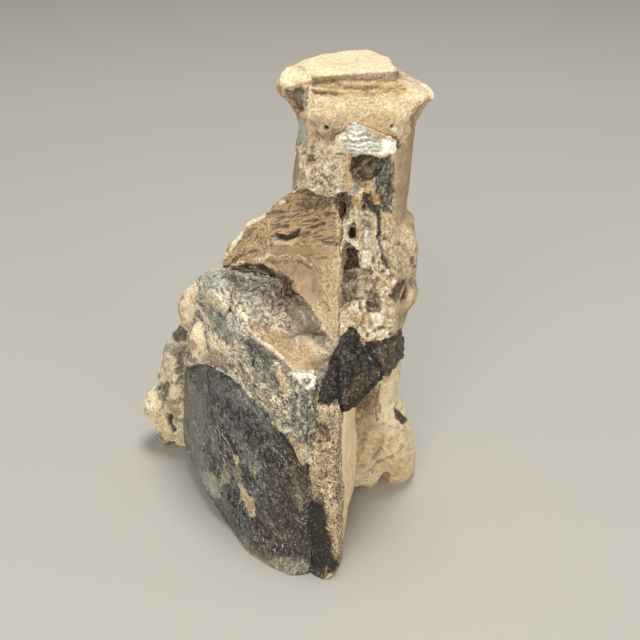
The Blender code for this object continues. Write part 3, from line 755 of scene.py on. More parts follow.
def makeUprightBone():
    v = uprightBone
    sources = ["bone_cap", "bone_shaft", "flank_knob"]
    work = startPiece("uprightBone", sources, v)
    p, n, x = work["rest"], work["facing"], work["x"]
    z = p[:, 2] / mm
    cap = ramp(z, v["capFoot"] - 1, v["capFoot"] + 1)
    top = ramp(z, v["flatTop"] - 0.8, v["flatTop"] + 0.2) * ramp(n[:, 2], 0.4, 0.7)
    riser = ramp(z, v["riserFoot"], v["riserFoot"] + 1.6) * (1 - top) * ramp(-n[:, 1], 0.15, 0.5)
    slope = cap * (1 - riser) * (1 - top) * ramp(0.8 * n[:, 2] - n[:, 1], 0.45, 0.85)
    slope *= ramp(x, *v["slopeLeft"])
    column = ramp(-n[:, 1], 0.1, 0.45) * (1 - cap) * (1 - ramp(x, *v["columnRight"]))
    flank = 1 - np.maximum(np.maximum(top, riser), np.maximum(slope, column))
    upright = np.array([0.0, 0.0, 1.0])
    rock = layered(p, 3.2, 1, 5, 0.65)
    sand = layered(p, 0.9, 2, 2, 0.8)
    chips = facets(p, 1.8, 3)
    seams = layered(p * np.array([0.3, 0.3, 1]), 1.2, 4, 4, 0.7)
    fibres = layered(squeezed(p, upright, 0.85), 0.8, 5, 3, 0.6)
    ridges = creased(squeezed(p, upright, 0.25), 2.2, 7, 3, 0.65)
    work["height"] += top * (0.12 * rock + 0.10 * sand) + riser * (v["seams"] * seams + 0.3 * rock)
    work["height"] += slope * (0.30 * rock + 0.20 * sand)
    broken = v["rock"] * rock + v["chips"] * chips + 0.25 * sand + v["ridges"] * (ridges - 0.7)
    work["height"] += column * broken
    work["height"] += flank * (0.15 * rock + 0.12 * fibres + 0.05 * sand)
    wide = layered(p, 8, 6, 3)
    flankShade = ramp(0.4 * fibres + 0.35 * rock + 0.4 * wide + 0.1, -0.6, 0.6)
    paint(work, 1, blendTones(flankShade, "brown drab tan tan buff"))
    paint(work, top, blendTones(ramp(0.5 * rock + 0.4 * sand, -0.6, 0.5), "tan cream cream straw"))
    slopeShade = ramp(0.45 * rock + 0.45 * sand, -0.6, 0.6)
    paint(work, slope, blendTones(slopeShade, "tan buff buff cream cream"))
    riserShade = ramp(0.8 * seams + 0.3 * rock, -0.5, 0.5)
    paint(work, riser, blendTones(riserShade, "brown olive golden buff buff"))
    columnShade = ramp(0.45 * rock + 0.4 * chips + 1.2 * (ridges - 0.72) + 0.3 * sand, -0.7, 0.6)
    cracks = ramp(layered(p, 1.6, 8, 3, 0.7), 0.32, 0.42)
    paint(work, column, blendTones(columnShade, "brown buff cream cream chalk white"))
    paint(work, column * cracks * 0.7, tones["brown"])
    work["grit"] += 0.2 * slope + 0.5 * column - 0.35 * flank
    sculpt(work, uprightMarks)
    finishWork(work, mudstone, "brown_bone", sources, dirtAndShade=0.6, wearAndHighlight=0.35)


uprightMarks = [
    # The cap: cream lip on the left, the hollow under it carved and painted dark brown as shade, with grey
    #     # crystals, and the grey face below
    area("buff cream chalk", 0, [274,84, 283,70, 305,66, 314,76, 304,83, 290,88]),
    area("drab buff", -0.15, [295,65, 304,67, 306,70, 299,69], cover=0.7, soft=0.6),
    area("umber brown brown", -0.9, [284,90, 302,85, 306,92, 303,104, 298,117, 290,104]),
    area("soot umber", -0.5, [296,99, 302,98, 303,112, 298,114], soft=0.6),
    area("soot moss steel ice", 0.2, [302,89, 312,86, 312,104, 306,110, 301,102], gloss=0.8, grit=1.8),
    area("buff tan", 0.3, [297,113, 310,109, 312,120, 300,121], cover=0.8),
    area("steel ice ice", 0.0, [294,121, 307,119, 308,148, 292,150], gloss=0.5, cover=0.9),
    line("tan buff cream", 0.8, 0.5, [312,88, 310,106, 309,120, 310,136, 309,150]),
    # The step under the flat top: brown layers, golden and cream between them
    area("olive brown tan", -0.35, [312,78, 330,76, 350,74, 372,73, 398,71, 402,76, 396,81, 372,82,
        345,81, 314,84], cover=0.9, soft=0.7, ragged=0.6),
    area("golden tan buff", 0.15, [316,84, 345,82, 380,84, 398,82, 396,89, 370,90, 340,89, 316,88],
        cover=0.7, patchy=0.3, soft=0.8),
    line("brown olive", 0.5, -0.4, [314,84, 328,82, 342,84], soft=0.5, patchy=0.3),
    line("brown olive", 0.5, -0.35, [346,87, 362,89, 376,88], soft=0.5, cover=0.8, patchy=0.4),
    line("brown olive", 0.45, -0.35, [376,78, 388,78, 398,75], soft=0.5, cover=0.8, patchy=0.3),
    line("caramel brown", 0.7, -0.4, [313,92, 324,93, 336,94], soft=0.5),
    line("buff cream", 0.4, 0.3, [314,89, 330,90, 346,93], soft=0.4),
    # The slope: cream at its right tip, olive and rough at its foot
    area("buff cream chalk", 0.1, [405,78, 424,86, 434,95, 424,104, 408,96], cover=0.7),
    area(None, -0.9, [420,103, 436,100, 430,118, 414,128, 410,118], soft=2.5),
    line("cream chalk", 0.8, 0.9, [422,88, 429,93, 430,97], soft=1.2),
    area("tan olive buff", 0, [312,116, 345,112, 400,114, 400,146, 312,146],
        cover=0.75, soft=4, patchy=0.2),
    area("brown olive tan buff", -0.25, [312,124, 338,119, 349,123, 340,136, 328,143, 313,144],
        cover=0.85, patchy=0.2, soft=2),
    area("brown olive tan", -0.2, [326,132, 344,128, 336,142, 324,146], cover=0.7, patchy=0.3, soft=1.5),
    area("olive golden tan", -0.25, [360,122, 374,118, 396,120, 399,140, 380,138, 366,134],
        cover=0.85, patchy=0.2, soft=1.5),
    area("buff cream", 0, [312,142, 326,140, 332,150, 312,152], cover=0.7, soft=1.5),
    area("brown umber", -0.3, [392,136, 400,136, 398,148, 393,147], cover=0.85, soft=0.6),
    area("ice white", 0.1, [391,125, 398,127, 399,135, 392,134], cover=0.7, patchy=0.5),
    line("ice buff", 1.0, 0.1, [321,129, 328,129], cover=0.7),
    line("soot", 0.7, -1.2, [326,128], soft=0.4, ragged=0.1),
    line("umber", 0.5, -0.8, [392,126], soft=0.4, ragged=0.1),
    # The ledge between the cap and the shaft
    line("golden buff cream", 0.6, 0.7, [300,146, 318,150, 338,154, 352,156, 372,152, 384,152]),
    # The shaft's rough left side
    area("tan pinkish cream chalk", 0.1, [300,150, 345,154, 346,190, 325,188, 294,192], cover=0.6),
    area("steel ash buff", 0, [286,150, 300,148, 298,186, 284,190], cover=0.7),
    line("umber brown", 0.3, -0.5, [303,146, 302,158, 299,172], cover=0.9),
    area("brown umber", -0.6, [308,154, 314,155, 313,163, 308,162], cover=0.85, soft=0.6),
    line("brown umber", 0.4, -0.6, [306,183, 314,177, 323,175, 330,181, 334,188],
        cover=0.8, ragged=1.3, patchy=0.5),
    line("brown drab", 0.5, -0.5, [312,186, 320,181, 328,188], cover=0.8, ragged=1.3, patchy=0.6),
    line("brown umber", 0.3, -0.4, [300,189, 310,186], cover=0.7),
    # The golden wall, the brown fibrous hollow and the black strip beside it
    area("tan golden golden", 0.3, [343,156, 353,157, 353,192, 345,192], cover=0.85),
    area("umber brown brown olive", -0.7, [351,158, 366,154, 382,156, 382,170, 372,176, 366,184, 353,183],
        ),
    area("umber umber brown", -0.5, [354,158, 370,156, 374,164, 362,169, 354,167], cover=0.8),
    line("tan", 0.25, 0.3, [372,158, 362,166, 354,176], soft=0.3, cover=0.7),
    line("olive", 0.25, 0.3, [378,164, 366,173, 356,181], soft=0.3, cover=0.7),
    area("soot ink slate drab", -0.5, [382,155, 392,156, 394,180, 392,212, 382,214, 374,206, 374,176,
        370,168], gloss=0.8, grit=1.6),
    line("buff steel", 0.35, 0.2, [383,166, 380,182, 384,198, 388,208], cover=0.7, patchy=0.8),
    line("steel", 0.3, 0.2, [389,162, 388,178, 390,190], cover=0.8, patchy=0.8, gloss=0.9),
    area("ice steel cream", 0.1, [351,186, 360,187, 360,196, 352,196], soft=0.8),
    area("ochre golden caramel", 0.1, [351,197, 360,196, 360,205, 353,207], soft=0.8),
    # Ochre lumps over a dark gap
    area("ochre golden buff", 0.9, [363,179, 373,180, 375,193, 365,194], grit=1.4, soft=1.0),
    area("caramel golden ochre", 0.7, [371,192, 380,195, 380,204, 372,204], grit=1.4, soft=1.0),
    area("umber brown", -0.8, [361,192, 371,193, 372,206, 364,209], soft=0.8),
    area("soot slate", -0.5, [371,206, 382,207, 380,217, 372,216], soft=0.8, gloss=0.6),
    area("golden buff cream", 0.8, [380,211, 393,214, 394,226, 388,231, 380,226], grit=1.4, soft=1.0),
    # The thin black seam
    line("soot ink", 0.65, -0.5, [377,212, 378,224, 379,236], gloss=0.5),
    line("slate steel ink", 0.6, -0.4, [379,238, 381,250, 385,260], gloss=0.5),
    area("umber brown", -0.5, [383,255, 391,258, 390,267, 384,265], soft=0.6),
    # The three pits down the middle, and the pale tube wall round the second
    area("umber brown drab pinkish", -0.6, [336,194, 346,192, 350,198, 349,213, 342,217, 337,208],
        soft=0.8, ragged=0.5),
    line("buff cream", 0.4, 0.3, [335,196, 337,210, 339,222], soft=0.4),
    line("umber brown", 0.35, -0.6, [342,216, 342,228, 341,240], cover=0.9),
    area("soot umber", -0.9, [350,225, 355,224, 356,235, 351,236], soft=0.5, ragged=0.3),
    line("steel ice white", 0.55, 0.4, [350,214, 346,224, 346,234, 349,241], soft=0.5, gloss=0.7),
    line("golden buff cream", 0.7, 0.6, [357,206, 358,222, 358,240]),
    line("cream ice", 0.8, 0.4, [350,209, 354,214, 352,220], cover=0.8),
    area("umber umber brown", -0.7, [343,250, 350,243, 357,250, 358,267, 350,270, 343,268],
        soft=0.8, ragged=0.5),
    line("soot", 0.45, -0.7, [349,244, 344,250], soft=0.3, ragged=0.2),
    area("brown umber drab", -0.5, [341,267, 358,268, 360,281, 342,283], cover=0.85),
    area("brown drab pinkish", -0.5, [357,267, 372,267, 371,282, 358,282], cover=0.8),
    # The pale channel between the pits and the seam
    area("ash cream pinkish", -0.2, [361,214, 374,215, 374,266, 362,266], cover=0.85),
    area("moss slate", -0.4, [363,220, 371,221, 370,230, 364,231], cover=0.8, soft=0.8, gloss=0.6),
    line("ice white", 0.7, 0.4, [366,230, 367,240], gloss=0.6, cover=0.95),
    area("cream white chalk", 0.4, [362,250, 370,250, 371,266, 364,266], cover=0.9, soft=0.9),
    line("pinkish cream", 0.6, 0.5, [375,220, 375,238, 375,256, 377,270]),
    # The lower shaft: brown pits, the cracked patch, the cream ridge and the white spot
    area("brown drab tan cream", -0.2, [340,282, 384,280, 380,300, 342,302], cover=0.6),
    area("umber brown drab", -0.6, [339,287, 350,283, 360,286, 358,299, 342,302], cover=0.9, patchy=0.3),
    area("rust brown umber", -0.6, [365,292, 376,290, 384,298, 382,311, 369,310], cover=0.9, patchy=0.2),
    line("cream", 0.25, 0.3, [366,299, 374,303, 382,300], soft=0.3, cover=0.8),
    line("white", 0.25, 0.3, [370,308, 378,309], soft=0.3, cover=0.8),
    area("tan buff cream", 0.3, [379,272, 390,274, 394,300, 396,322, 384,322, 382,298], cover=0.8),
    area("golden tan buff cream", 0.1, [322,296, 342,302, 364,312, 384,310, 384,322, 372,330, 345,322,
        326,342], cover=0.75),
    area("white chalk cream", 0.4, [371,315, 382,313, 384,324, 374,329], gloss=0.6, cover=0.95, soft=0.8),
    # Painted shadow on the shaft's side, under the flange
    area("umber soot brown", -0.4, [270,260, 290,264, 299,284, 306,302, 290,308, 278,298],
        soft=0.5, grit=0.7),
    # The right flank and the knob: a dark seam, the round pit with its pale rim
    line("umber brown", 0.3, -0.3, [395,150, 394,170, 392,190, 393,210], cover=0.8),
    line("buff cream", 0.3, 0.1, [406,176, 405,190, 407,206], soft=0.4, cover=0.7, patchy=0.4),
    area("tan buff cream chalk", 0.1, [385,228, 404,222, 418,236, 418,280, 396,278, 386,254],
        cover=0.75, grit=1.5),
    line("drab brown", 0.5, -0.35, [391,248, 396,243, 404,245, 408,254, 406,266, 398,272, 392,266],
        cover=0.7, patchy=0.5),
    line("drab brown", 0.4, -0.3, [396,254, 401,252, 402,262, 397,264], cover=0.6, patchy=0.5),
    area("brown umber", -0.4, [411,255, 415,258, 414,268, 411,266], cover=0.8, soft=0.6),
    area("umber umber brown", -0.9, [391,287, 397,281, 406,279, 407,288, 404,298, 397,303, 391,299],
        cover=0.97, soft=1.4, grit=0.5),
    line("cream chalk", 0.5, 0.5, [389,290, 393,282, 404,277], soft=0.5),
    area("buff cream", 0.3, [406,287, 417,288, 416,300, 407,300], cover=0.8),
]

makeUprightBone()


# Calcite patch under the cap: fine wavy layers, lumpy and brightest at its right end
calcitePatch = {"swell": 0.15, "grain": 0.25, "soften": 6, "layer": 0.9, "seams": 0.28}


def makeCalcite():
    v = calcitePatch
    work = startPiece("calcitePatch", ["calcite_patch"], v)
    p = work["rest"]
    seams = layered(p * np.array([0.22, 0.5, 1]), v["layer"], 21, 4, 0.7)
    work["height"] += v["seams"] * seams + 0.15 * layered(p, 1.0, 22, 3)
    mix = 0.8 * seams + 0.4 * layered(p, 2.0, 23, 3)
    coat(work, mix, -0.5, 0.5, "ash steel ice ice cream white")
    work["gloss"][:] = 0.6
    sculpt(work, [
        area("buff cream ash", 0, [322,140, 338,134, 345,142, 344,158, 322,160], cover=0.9, soft=1.5),
        # Mudstone laps over its upper right
        area("tan golden olive buff", 0.15, [360,118, 404,118, 404,139, 388,139, 374,138, 366,133],
            cover=0.97, soft=0.6, gloss=0.1),
        area("tan olive buff", 0.1, [326,118, 352,118, 349,127, 341,137, 334,146, 320,150],
            cover=0.95, soft=0.6, gloss=0.1),
        area("white white cream", 0.4, [383,141, 394,142, 394,156, 382,154], gloss=0.8),
        line("white chalk", 0.35, 0.35, [351,131, 356,134, 362,132], soft=0.3, patchy=0.2),
        line("white chalk", 0.35, 0.35, [349,136, 357,140, 366,137], soft=0.3, patchy=0.2),
        line("white cream", 0.35, 0.35, [347,142, 358,146, 370,142, 378,144], soft=0.3, patchy=0.2),
        line("white cream", 0.35, 0.3, [350,148, 362,150, 374,147], soft=0.3, patchy=0.2),
        line("steel moss", 0.3, -0.2, [348,139, 357,143, 368,140, 380,142],
            soft=0.3, cover=0.7, patchy=0.3),
        line("golden buff", 0.4, 0.3, [330,153, 350,155, 368,153, 382,156], cover=0.9),
    ])
    paintedDirtAndLight = {"dirtAndShade": 0.5, "dirtAndShadeTone": "drab", "wearAndHighlight": 0.4, "wearAndHighlightTone": "white"}
    finishWork(work, calcite, "calcite", ["calcite_patch"], **paintedDirtAndLight)


makeCalcite()


# The fan-shaped flange: layers of bone split along the grain, with scalloped broken edges
fanFlange = {
    "swell": 0.3, "grain": 0.29, "soften": 5, "ridges": 0.35, "plates": 0.25, "rock": 0.25,
    # The way of the grain, by the bone and by the rim, from one photo pixel to another
    "run": [(262, 240), (330, 228)], "rimRun": [(232, 256), (262, 226)],
    # Where the rim ends, and where the lower lobe, the smooth band, the root and the shadow under the
    # flange begin or end, as photo rows and columns
    "rimRight": (258, 272), "lobeTop": (256, 264), "lobeLeft": (255, 270),
    "bandTop": (244, 248), "bandFoot": (252, 258), "bandLeft": (268, 276),
    "rootLeft": (318, 345), "underTop": (264, 267), "underRight": (290, 298),
}


def makeFlange():
    v = fanFlange
    work = startPiece("fanFlange", ["flange"], v)
    p, x, y = work["rest"], work["x"], work["y"]
    # The grain fans out from the bone to the rim: nearly level, sinking a little to the left
    run, rimRun = runBetween(*v["run"]), runBetween(*v["rimRun"])
    byRim = 1 - ramp(x - 0.3 * (y - 240), *v["rimRight"])
    thin = squeezed(p, run, 0.8) * (1 - byRim)[:, None] + squeezed(p, rimRun, 0.8) * byRim[:, None]
    ridges = creased(thin, 1.2, 31, 4, 0.65)
    fine = layered(thin, 0.6, 32, 3, 0.7)
    rock = layered(p, 4, 33, 5, 0.6)
    plates = facets(squeezed(p, run, 0.7), 1.6, 34)
    lobe = ramp(y, *v["lobeTop"]) * ramp(x, *v["lobeLeft"])  # the lower lobe is worn smooth
    band = ramp(y, *v["bandTop"]) * (1 - ramp(y, *v["bandFoot"])) * ramp(x, *v["bandLeft"])
    smooth = np.maximum(lobe, band)
    split = 1 - 0.8 * smooth
    layers = v["ridges"] * (ridges - 0.75) * 2 + 0.16 * fine + v["plates"] * plates
    work["height"] += split * layers + v["rock"] * rock
    mix = split * (0.5 * (ridges - 0.74) + 0.2 * plates) + 0.25 * fine + 0.3 * rock
    shade = coat(work, mix, -0.5, 0.5, "drab tan golden tan buff")
    paint(work, split * ramp(ridges, 0.82, 0.93) * 0.85, tones["cream"])
    paint(work, split * ramp(-ridges, -0.58, -0.42) * 0.7, tones["brown"])
    paint(work, lobe * 0.6, blendTones(shade, "drab tan tan golden"))
    root = ramp(x + 0.3 * (y - 250), *v["rootLeft"])
    paint(work, root * 0.8, blendTones(work["speck"], "tan buff cream"))
    # Painted shadow darkens the flange's underside below its crest
    underShadow = ramp(-work["facing"][:, 2], -0.15, 0.1) * ramp(y, *v["underTop"])
    underShadow *= 1 - ramp(x, *v["underRight"])
    paint(work, underShadow * 0.95, tones["soot"])
    work["gloss"][:] = 0.3
    work["grit"][:] = 0.8 - 0.3 * smooth + 0.4 * root
    sculpt(work, flangeMarks)
    finishWork(work, layeredBone, "brown_mudstone", ["flange"], dirtAndShade=0.7, wearAndHighlight=0.45)


flangeMarks = [
    # The rim: a thin pale broken edge
    line("cream chalk", 0.8, 0.3, [221,268, 227,257, 235,243, 243,231, 255,221, 266,213, 271,208, 284,202],
        soft=0.4),
    line("brown drab", 0.4, -0.3, [240,250, 248,236, 262,224], cover=0.6, patchy=0.6),
    area("brown umber drab", -0.3, [296,206, 306,192, 330,190, 338,200, 322,210, 304,211],
        cover=0.8, patchy=0.4, grit=1.3),
    line("tan buff", 0.3, 0.3, [300,200, 309,196, 318,199], cover=0.8),
    # Openings between the layers, each with a pale lip below
    area("soot umber", -1.1, [275,233, 286,235, 297,230, 301,228, 294,238, 284,241, 276,238],
        soft=0.6, ragged=0.6),
    area("buff cream", 0.25, [272,240, 284,242, 296,238, 292,245, 276,245],
        soft=0.7, ragged=0.7, patchy=0.3),
    line("umber", 0.35, -0.7, [310,227, 318,225, 325,223], soft=0.4),
    line("umber brown", 0.35, -0.6, [303,237, 310,235, 317,233], soft=0.4),
    line("brown", 0.3, -0.5, [312,222, 322,219], soft=0.4),
    line("umber", 0.22, -0.5, [318,241, 330,242, 344,239], soft=0.3),
    line("brown", 0.25, -0.4, [246,246, 256,240, 266,236], soft=0.4, cover=0.8),
    line("brown", 0.25, -0.4, [274,222, 286,217, 298,215], soft=0.4, cover=0.8),
    line("tan buff cream", 0.4, 0.3, [266,212, 269,226, 268,240, 270,254], cover=0.8, patchy=0.4),
    line("buff cream", 0.3, 0.3, [300,243, 316,245, 332,248, 342,246], soft=0.4, cover=0.8, patchy=0.4),
    area("caramel drab tan", -0.1, [274,247, 298,246, 322,249, 318,255, 290,257, 272,256],
        cover=0.7, grit=0.4),
    line("buff", 0.25, 0.3, [318,252, 330,254, 342,252], soft=0.3, cover=0.8),
    line("brown", 0.22, -0.4, [322,257, 334,260], soft=0.3, cover=0.8),
    # The scalloped crest and the shadow under it
    area("soot soot umber", -0.9, [222,267, 238,265, 250,263, 262,264, 272,269, 282,275, 292,281, 290,286,
        276,280, 262,276, 240,276, 222,276], soft=0.5, ragged=0.5, cover=0.97, grit=0.5),
    line("buff cream chalk", 0.6, 0.6, [222,266, 232,265, 243,263, 255,260, 264,258, 268,254],
        soft=0.4, ragged=1.2),
    line("buff cream chalk", 0.35, 0.7, [268,256, 273,254, 279,257, 285,255, 292,256, 298,254, 304,259,
        309,260, 316,270], soft=0.35, ragged=0.9, patchy=0.2),
    line("umber brown", 0.5, -0.5, [232,261, 244,254, 256,250], cover=0.8, patchy=0.3),
    line("tan buff", 0.4, 0.4, [264,262, 274,266, 284,272, 293,280], cover=0.7, patchy=0.3),
    line("brown drab", 0.5, -0.4, [272,261, 286,262, 300,262, 310,268], cover=0.6),
    area("umber brown drab", -0.3, [276,268, 288,274, 295,285, 301,298, 296,302, 286,297, 278,286],
        soft=1.2, cover=0.9),
    # The shaft's upper pit bites into its right edge
    area("umber brown", -0.8, [333,197, 340,194, 350,196, 350,215, 342,219, 336,210],
        soft=0.7, ragged=0.5, cover=0.95),
    line("buff cream", 0.35, 0.3, [332,200, 334,210, 338,222, 338,236], soft=0.4, cover=0.8),
    # The lower lobe, pale towards the bone
    area("drab tan caramel", 0.0, [282,272, 304,264, 320,272, 324,292, 310,304, 296,290],
        cover=0.6, soft=3),
    area("tan buff cream", 0.15, [322,262, 346,250, 346,346, 330,346, 314,314, 322,290],
        cover=0.75, patchy=0.2, grit=1.4, soft=3),
    line("caramel rust", 0.5, -0.2, [324,300, 330,310], cover=0.6),
    line("brown tan", 0.4, -0.4, [330,284, 326,292], cover=0.7),
]

makeFlange()


# The dark plate of compact bone at the front
darkPlate = {
    "blockGrain": 0.45, "blockSoften": 2, "swell": 0.45, "grain": 0.39, "soften": 9,
    "pores": 0.12, "waves": 0.30, "bulge": 3.2,
    # Its broken lower left edge, as photo pixels from top to bottom
    "edge": [(184, 443), (203, 485), (226, 523), (262, 560)],
    # The way of its grain, from one photo pixel to another
    "run": [(228, 450), (252, 500)],
    # Where the bulge of its foot, the brown on the right and the middle begin or end, as photo rows and
    # columns, and the bulge's top in millimetres
    "bulgeLeft": (228, 262), "bulgeRight": (292, 314), "brownLeft": (255, 290), "middleTop": (400, 450),
    "bulgeTop": (2, 15),
}


def trimEdge(obj):
    places = darkPlate["edge"]
    cutBlock(obj, [photoPlane(high, low) for high, low in zip(places, places[1:])])


def makePlate():
    v = darkPlate
    obj = fineCopy("darkPlate", ["bone_plate"], v["swell"], v["blockGrain"], v["blockSoften"])
    trimEdge(obj)
    work = startWork(evenSkin(obj, v["grain"], v["soften"]))
    p, x, y = work["rest"], work["x"], work["y"]
    run = runBetween(*v["run"])
    thin = squeezed(p, run, 0.6)
    wide = layered(p, 9, 41, 4, 0.6)
    fine = layered(thin, 1.0, 42, 4, 0.75)
    work["height"] += v["pores"] * fine + v["waves"] * layered(p, 7, 43, 4, 0.55)
    # Its foot bulges forwards in the middle
    foot = ramp(x, *v["bulgeLeft"]) * (1 - ramp(x, *v["bulgeRight"]))
    foot *= 1 - ramp(p[:, 2] / mm, *v["bulgeTop"])
    work["height"] += v["bulge"] * foot * ramp(-work["facing"][:, 1], 0.1, 0.5)
    shade = coat(work, 0.8 * wide + 0.9 * fine, -0.6, 0.6, "soot soot ink slate slate steel")
    brownish = ramp(x + 0.2 * (y - 450) + 14 * wide, *v["brownLeft"])
    paint(work, brownish * 0.8, blendTones(shade, "soot umber umber brown"))
    work["gloss"][:] = 0.35
    groups = ramp(layered(p, 6, 48, 3, 0.6), -0.05, 0.35)
    middle = ramp(y, *v["middleTop"]) * (1 - 0.7 * brownish)
    flecks(work, 0.3 + 0.7 * groups, "ash", 0.5, 2.5, run, 45, 0.34)
    flecks(work, 0.4 + 0.6 * groups, "ice", 0.45, 3.5, run, 49, 0.46)
    flecks(work, 0.8, "soot", 0.9, 2, run, 47, 0.36, -0.08)
    flecks(work, middle * (0.3 + 0.7 * groups), "buff", 0.55, 2.0, run, 46, 0.50, 0.06)
    sculpt(work, plateMarks)
    paintedDirtAndLight = {"dirtAndShade": 0.5, "dirtAndShadeTone": "soot", "wearAndHighlight": 0.3, "wearAndHighlightTone": "steel"}
    finishWork(work, darkBone, "dark_bone", ["bone_plate"], **paintedDirtAndLight)
    wanted = work["shown"] * (0.25 + 0.75 * groups)
    scatterGrains("plateGrit", work, wanted, creamGrit)


def veinMarks(tone, width, routes, **more):
    return [line(tone, width, 0.12, route, patchy=0.5, ragged=0.8, **more) for route in routes]


plateMarks = [
    # The sheen on its upper left, painted as pale reflected light over a glossier patch, and pale mineral
    # spots
    area("slate steel ash", 0, [172,388, 190,380, 206,398, 206,440, 192,450, 180,436],
        soft=4, cover=0.65, gloss=0.6, grit=1.5),
    area("slate ash moss", 0, [184,440, 200,440, 216,480, 240,530, 300,566, 270,566, 226,524],
        soft=3, cover=0.5, patchy=0.3),
    area("steel slate", 0, [210,380, 226,380, 226,398, 212,398], soft=3, cover=0.4, patchy=0.3),
    area("ice steel ice", 0.1, [198,470, 212,472, 219,484, 218,498, 206,492],
        soft=1.8, ragged=1.2, cover=0.95, patchy=0.2),
    area("ash steel moss", 0.1, [188,450, 202,452, 208,468, 198,474], soft=1.8, cover=0.7, patchy=0.3),
    *veinMarks("steel ice", 0.4, [
        [191,398, 196,408, 200,418], [190,412, 196,424, 200,432], [206,384, 209,396],
        [186,404, 190,416], [198,438, 204,445, 210,443], [208,462, 218,468, 228,464],
    ]),
    *[line("ice white", 0.3, 0.1, route, patchy=0.2) for route in (
        [188,400, 192,410], [194,402, 199,411], [188,415, 193,425], [196,421, 201,429],
        [193,428, 200,436], [203,433, 208,438], [203,447, 210,450], [214,441, 219,446],
    )],
    # The cream vein down the middle, with its branches and the blots round it
    *veinMarks("cream buff ash", 0.4, [
        [226,438, 231,446, 235,456, 238,464], [255,444, 257,454, 255,464, 256,476, 259,488],
        [238,463, 247,461, 258,463], [236,490, 240,500], [221,494, 221,504, 227,511],
        [222,452, 226,462], [214,500, 218,512], [240,476, 250,482], [229,484, 234,494],
    ]),
    *veinMarks("ash ice", 0.3, [
        [262,450, 268,454, 273,462], [264,492, 272,497, 280,503], [262,520, 266,526, 271,530],
        [278,519, 283,525], [246,440, 250,446], [208,448, 213,456],
        [270,474, 276,480], [200,456, 205,466], [224,420, 228,428], [256,536, 262,544],
    ]),
    area("cream buff", 0.15, [235,455, 238,455, 240,465, 236,464], soft=0.5, patchy=0.5),
    area("pinkish ash brown", 0.1, [236,464, 241,464, 242,484, 237,485], soft=0.5, patchy=0.4, cover=0.8),
    area("ash buff cream", 0.2, [238,484, 242,483, 248,493, 254,497, 254,505, 256,515, 252,516, 246,506,
        241,496], soft=0.5, ragged=1.0, patchy=0.3),
    area("tan ash cream", 0.1, [249,464, 258,461, 261,468, 255,475, 250,471],
        soft=0.8, patchy=0.6, cover=0.85),
    area("buff ash", 0.1, [219,470, 228,468, 229,484, 220,486], soft=0.8, patchy=0.7, cover=0.9),
    # A brown sheen painted as a pale reflection by its right edge, the dark crack, the worn lower edge
    area("ash drab", 0, [291,464, 295,463, 301,488, 302,510, 298,510, 294,488],
        soft=1.5, cover=0.45, patchy=0.4),
    line("soot", 0.25, -0.3, [231,412, 232,424, 230,437], soft=0.3, cover=0.8),
    line("ash cream steel", 0.8, 0.1, [186,450, 199,484, 216,512, 234,534, 250,550, 268,563, 290,572],
        cover=0.8, patchy=0.7),
    area("cream ash moss", 0.1, [270,558, 288,552, 304,556, 309,568, 292,573, 276,568],
        cover=0.7, patchy=0.5),
    # Painted shadow under the band's overhanging edge
    line("soot ink", 0.8, -0.5, [205,362, 222,368, 236,379, 256,396, 272,415, 286,440, 300,460],
        cover=0.85),
    *veinMarks("white ash", 0.3, [[238,384, 246,392], [262,410, 270,420], [278,434, 284,446]]),
    line("ash buff", 0.25, 0.2, [305,460, 309,480, 311,502], soft=0.3, cover=0.8, patchy=0.4),
    line("soot ink", 0.6, -0.2, [311,504, 310,520, 309,540, 307,556], cover=0.9),
]

makePlate()


# What the photo shows of the dish, as photo pixels: the core drops away behind it
dishOutline = [(214, 258), (250, 258), (296, 268), (334, 345), (334, 378), (290, 376), (230, 306)]

# Its outer crest, where the mottled band takes over
dishCrest = [(234, 306), (241, 323), (250, 333), (262, 343), (279, 356), (293, 371), (318, 374)]


# The mottled band over the plate: fibres of bone with pale filling between them
mottledBand = {
    "swell": 0.3, "grain": 0.31, "soften": 5, "fibres": 0.35, "chips": 0.3, "lumps": 0.4, "cracks": 0.5,
    # The way of its fibres, and of those at its lower end, from one photo pixel to another
    "run": [(222, 322), (266, 374)], "steepRun": [(288, 400), (304, 452)],
    # Where its lower end begins and its cool upper part ends, as photo columns and rows
    "lowLeft": (275, 292), "coolFoot": (352, 400),
}


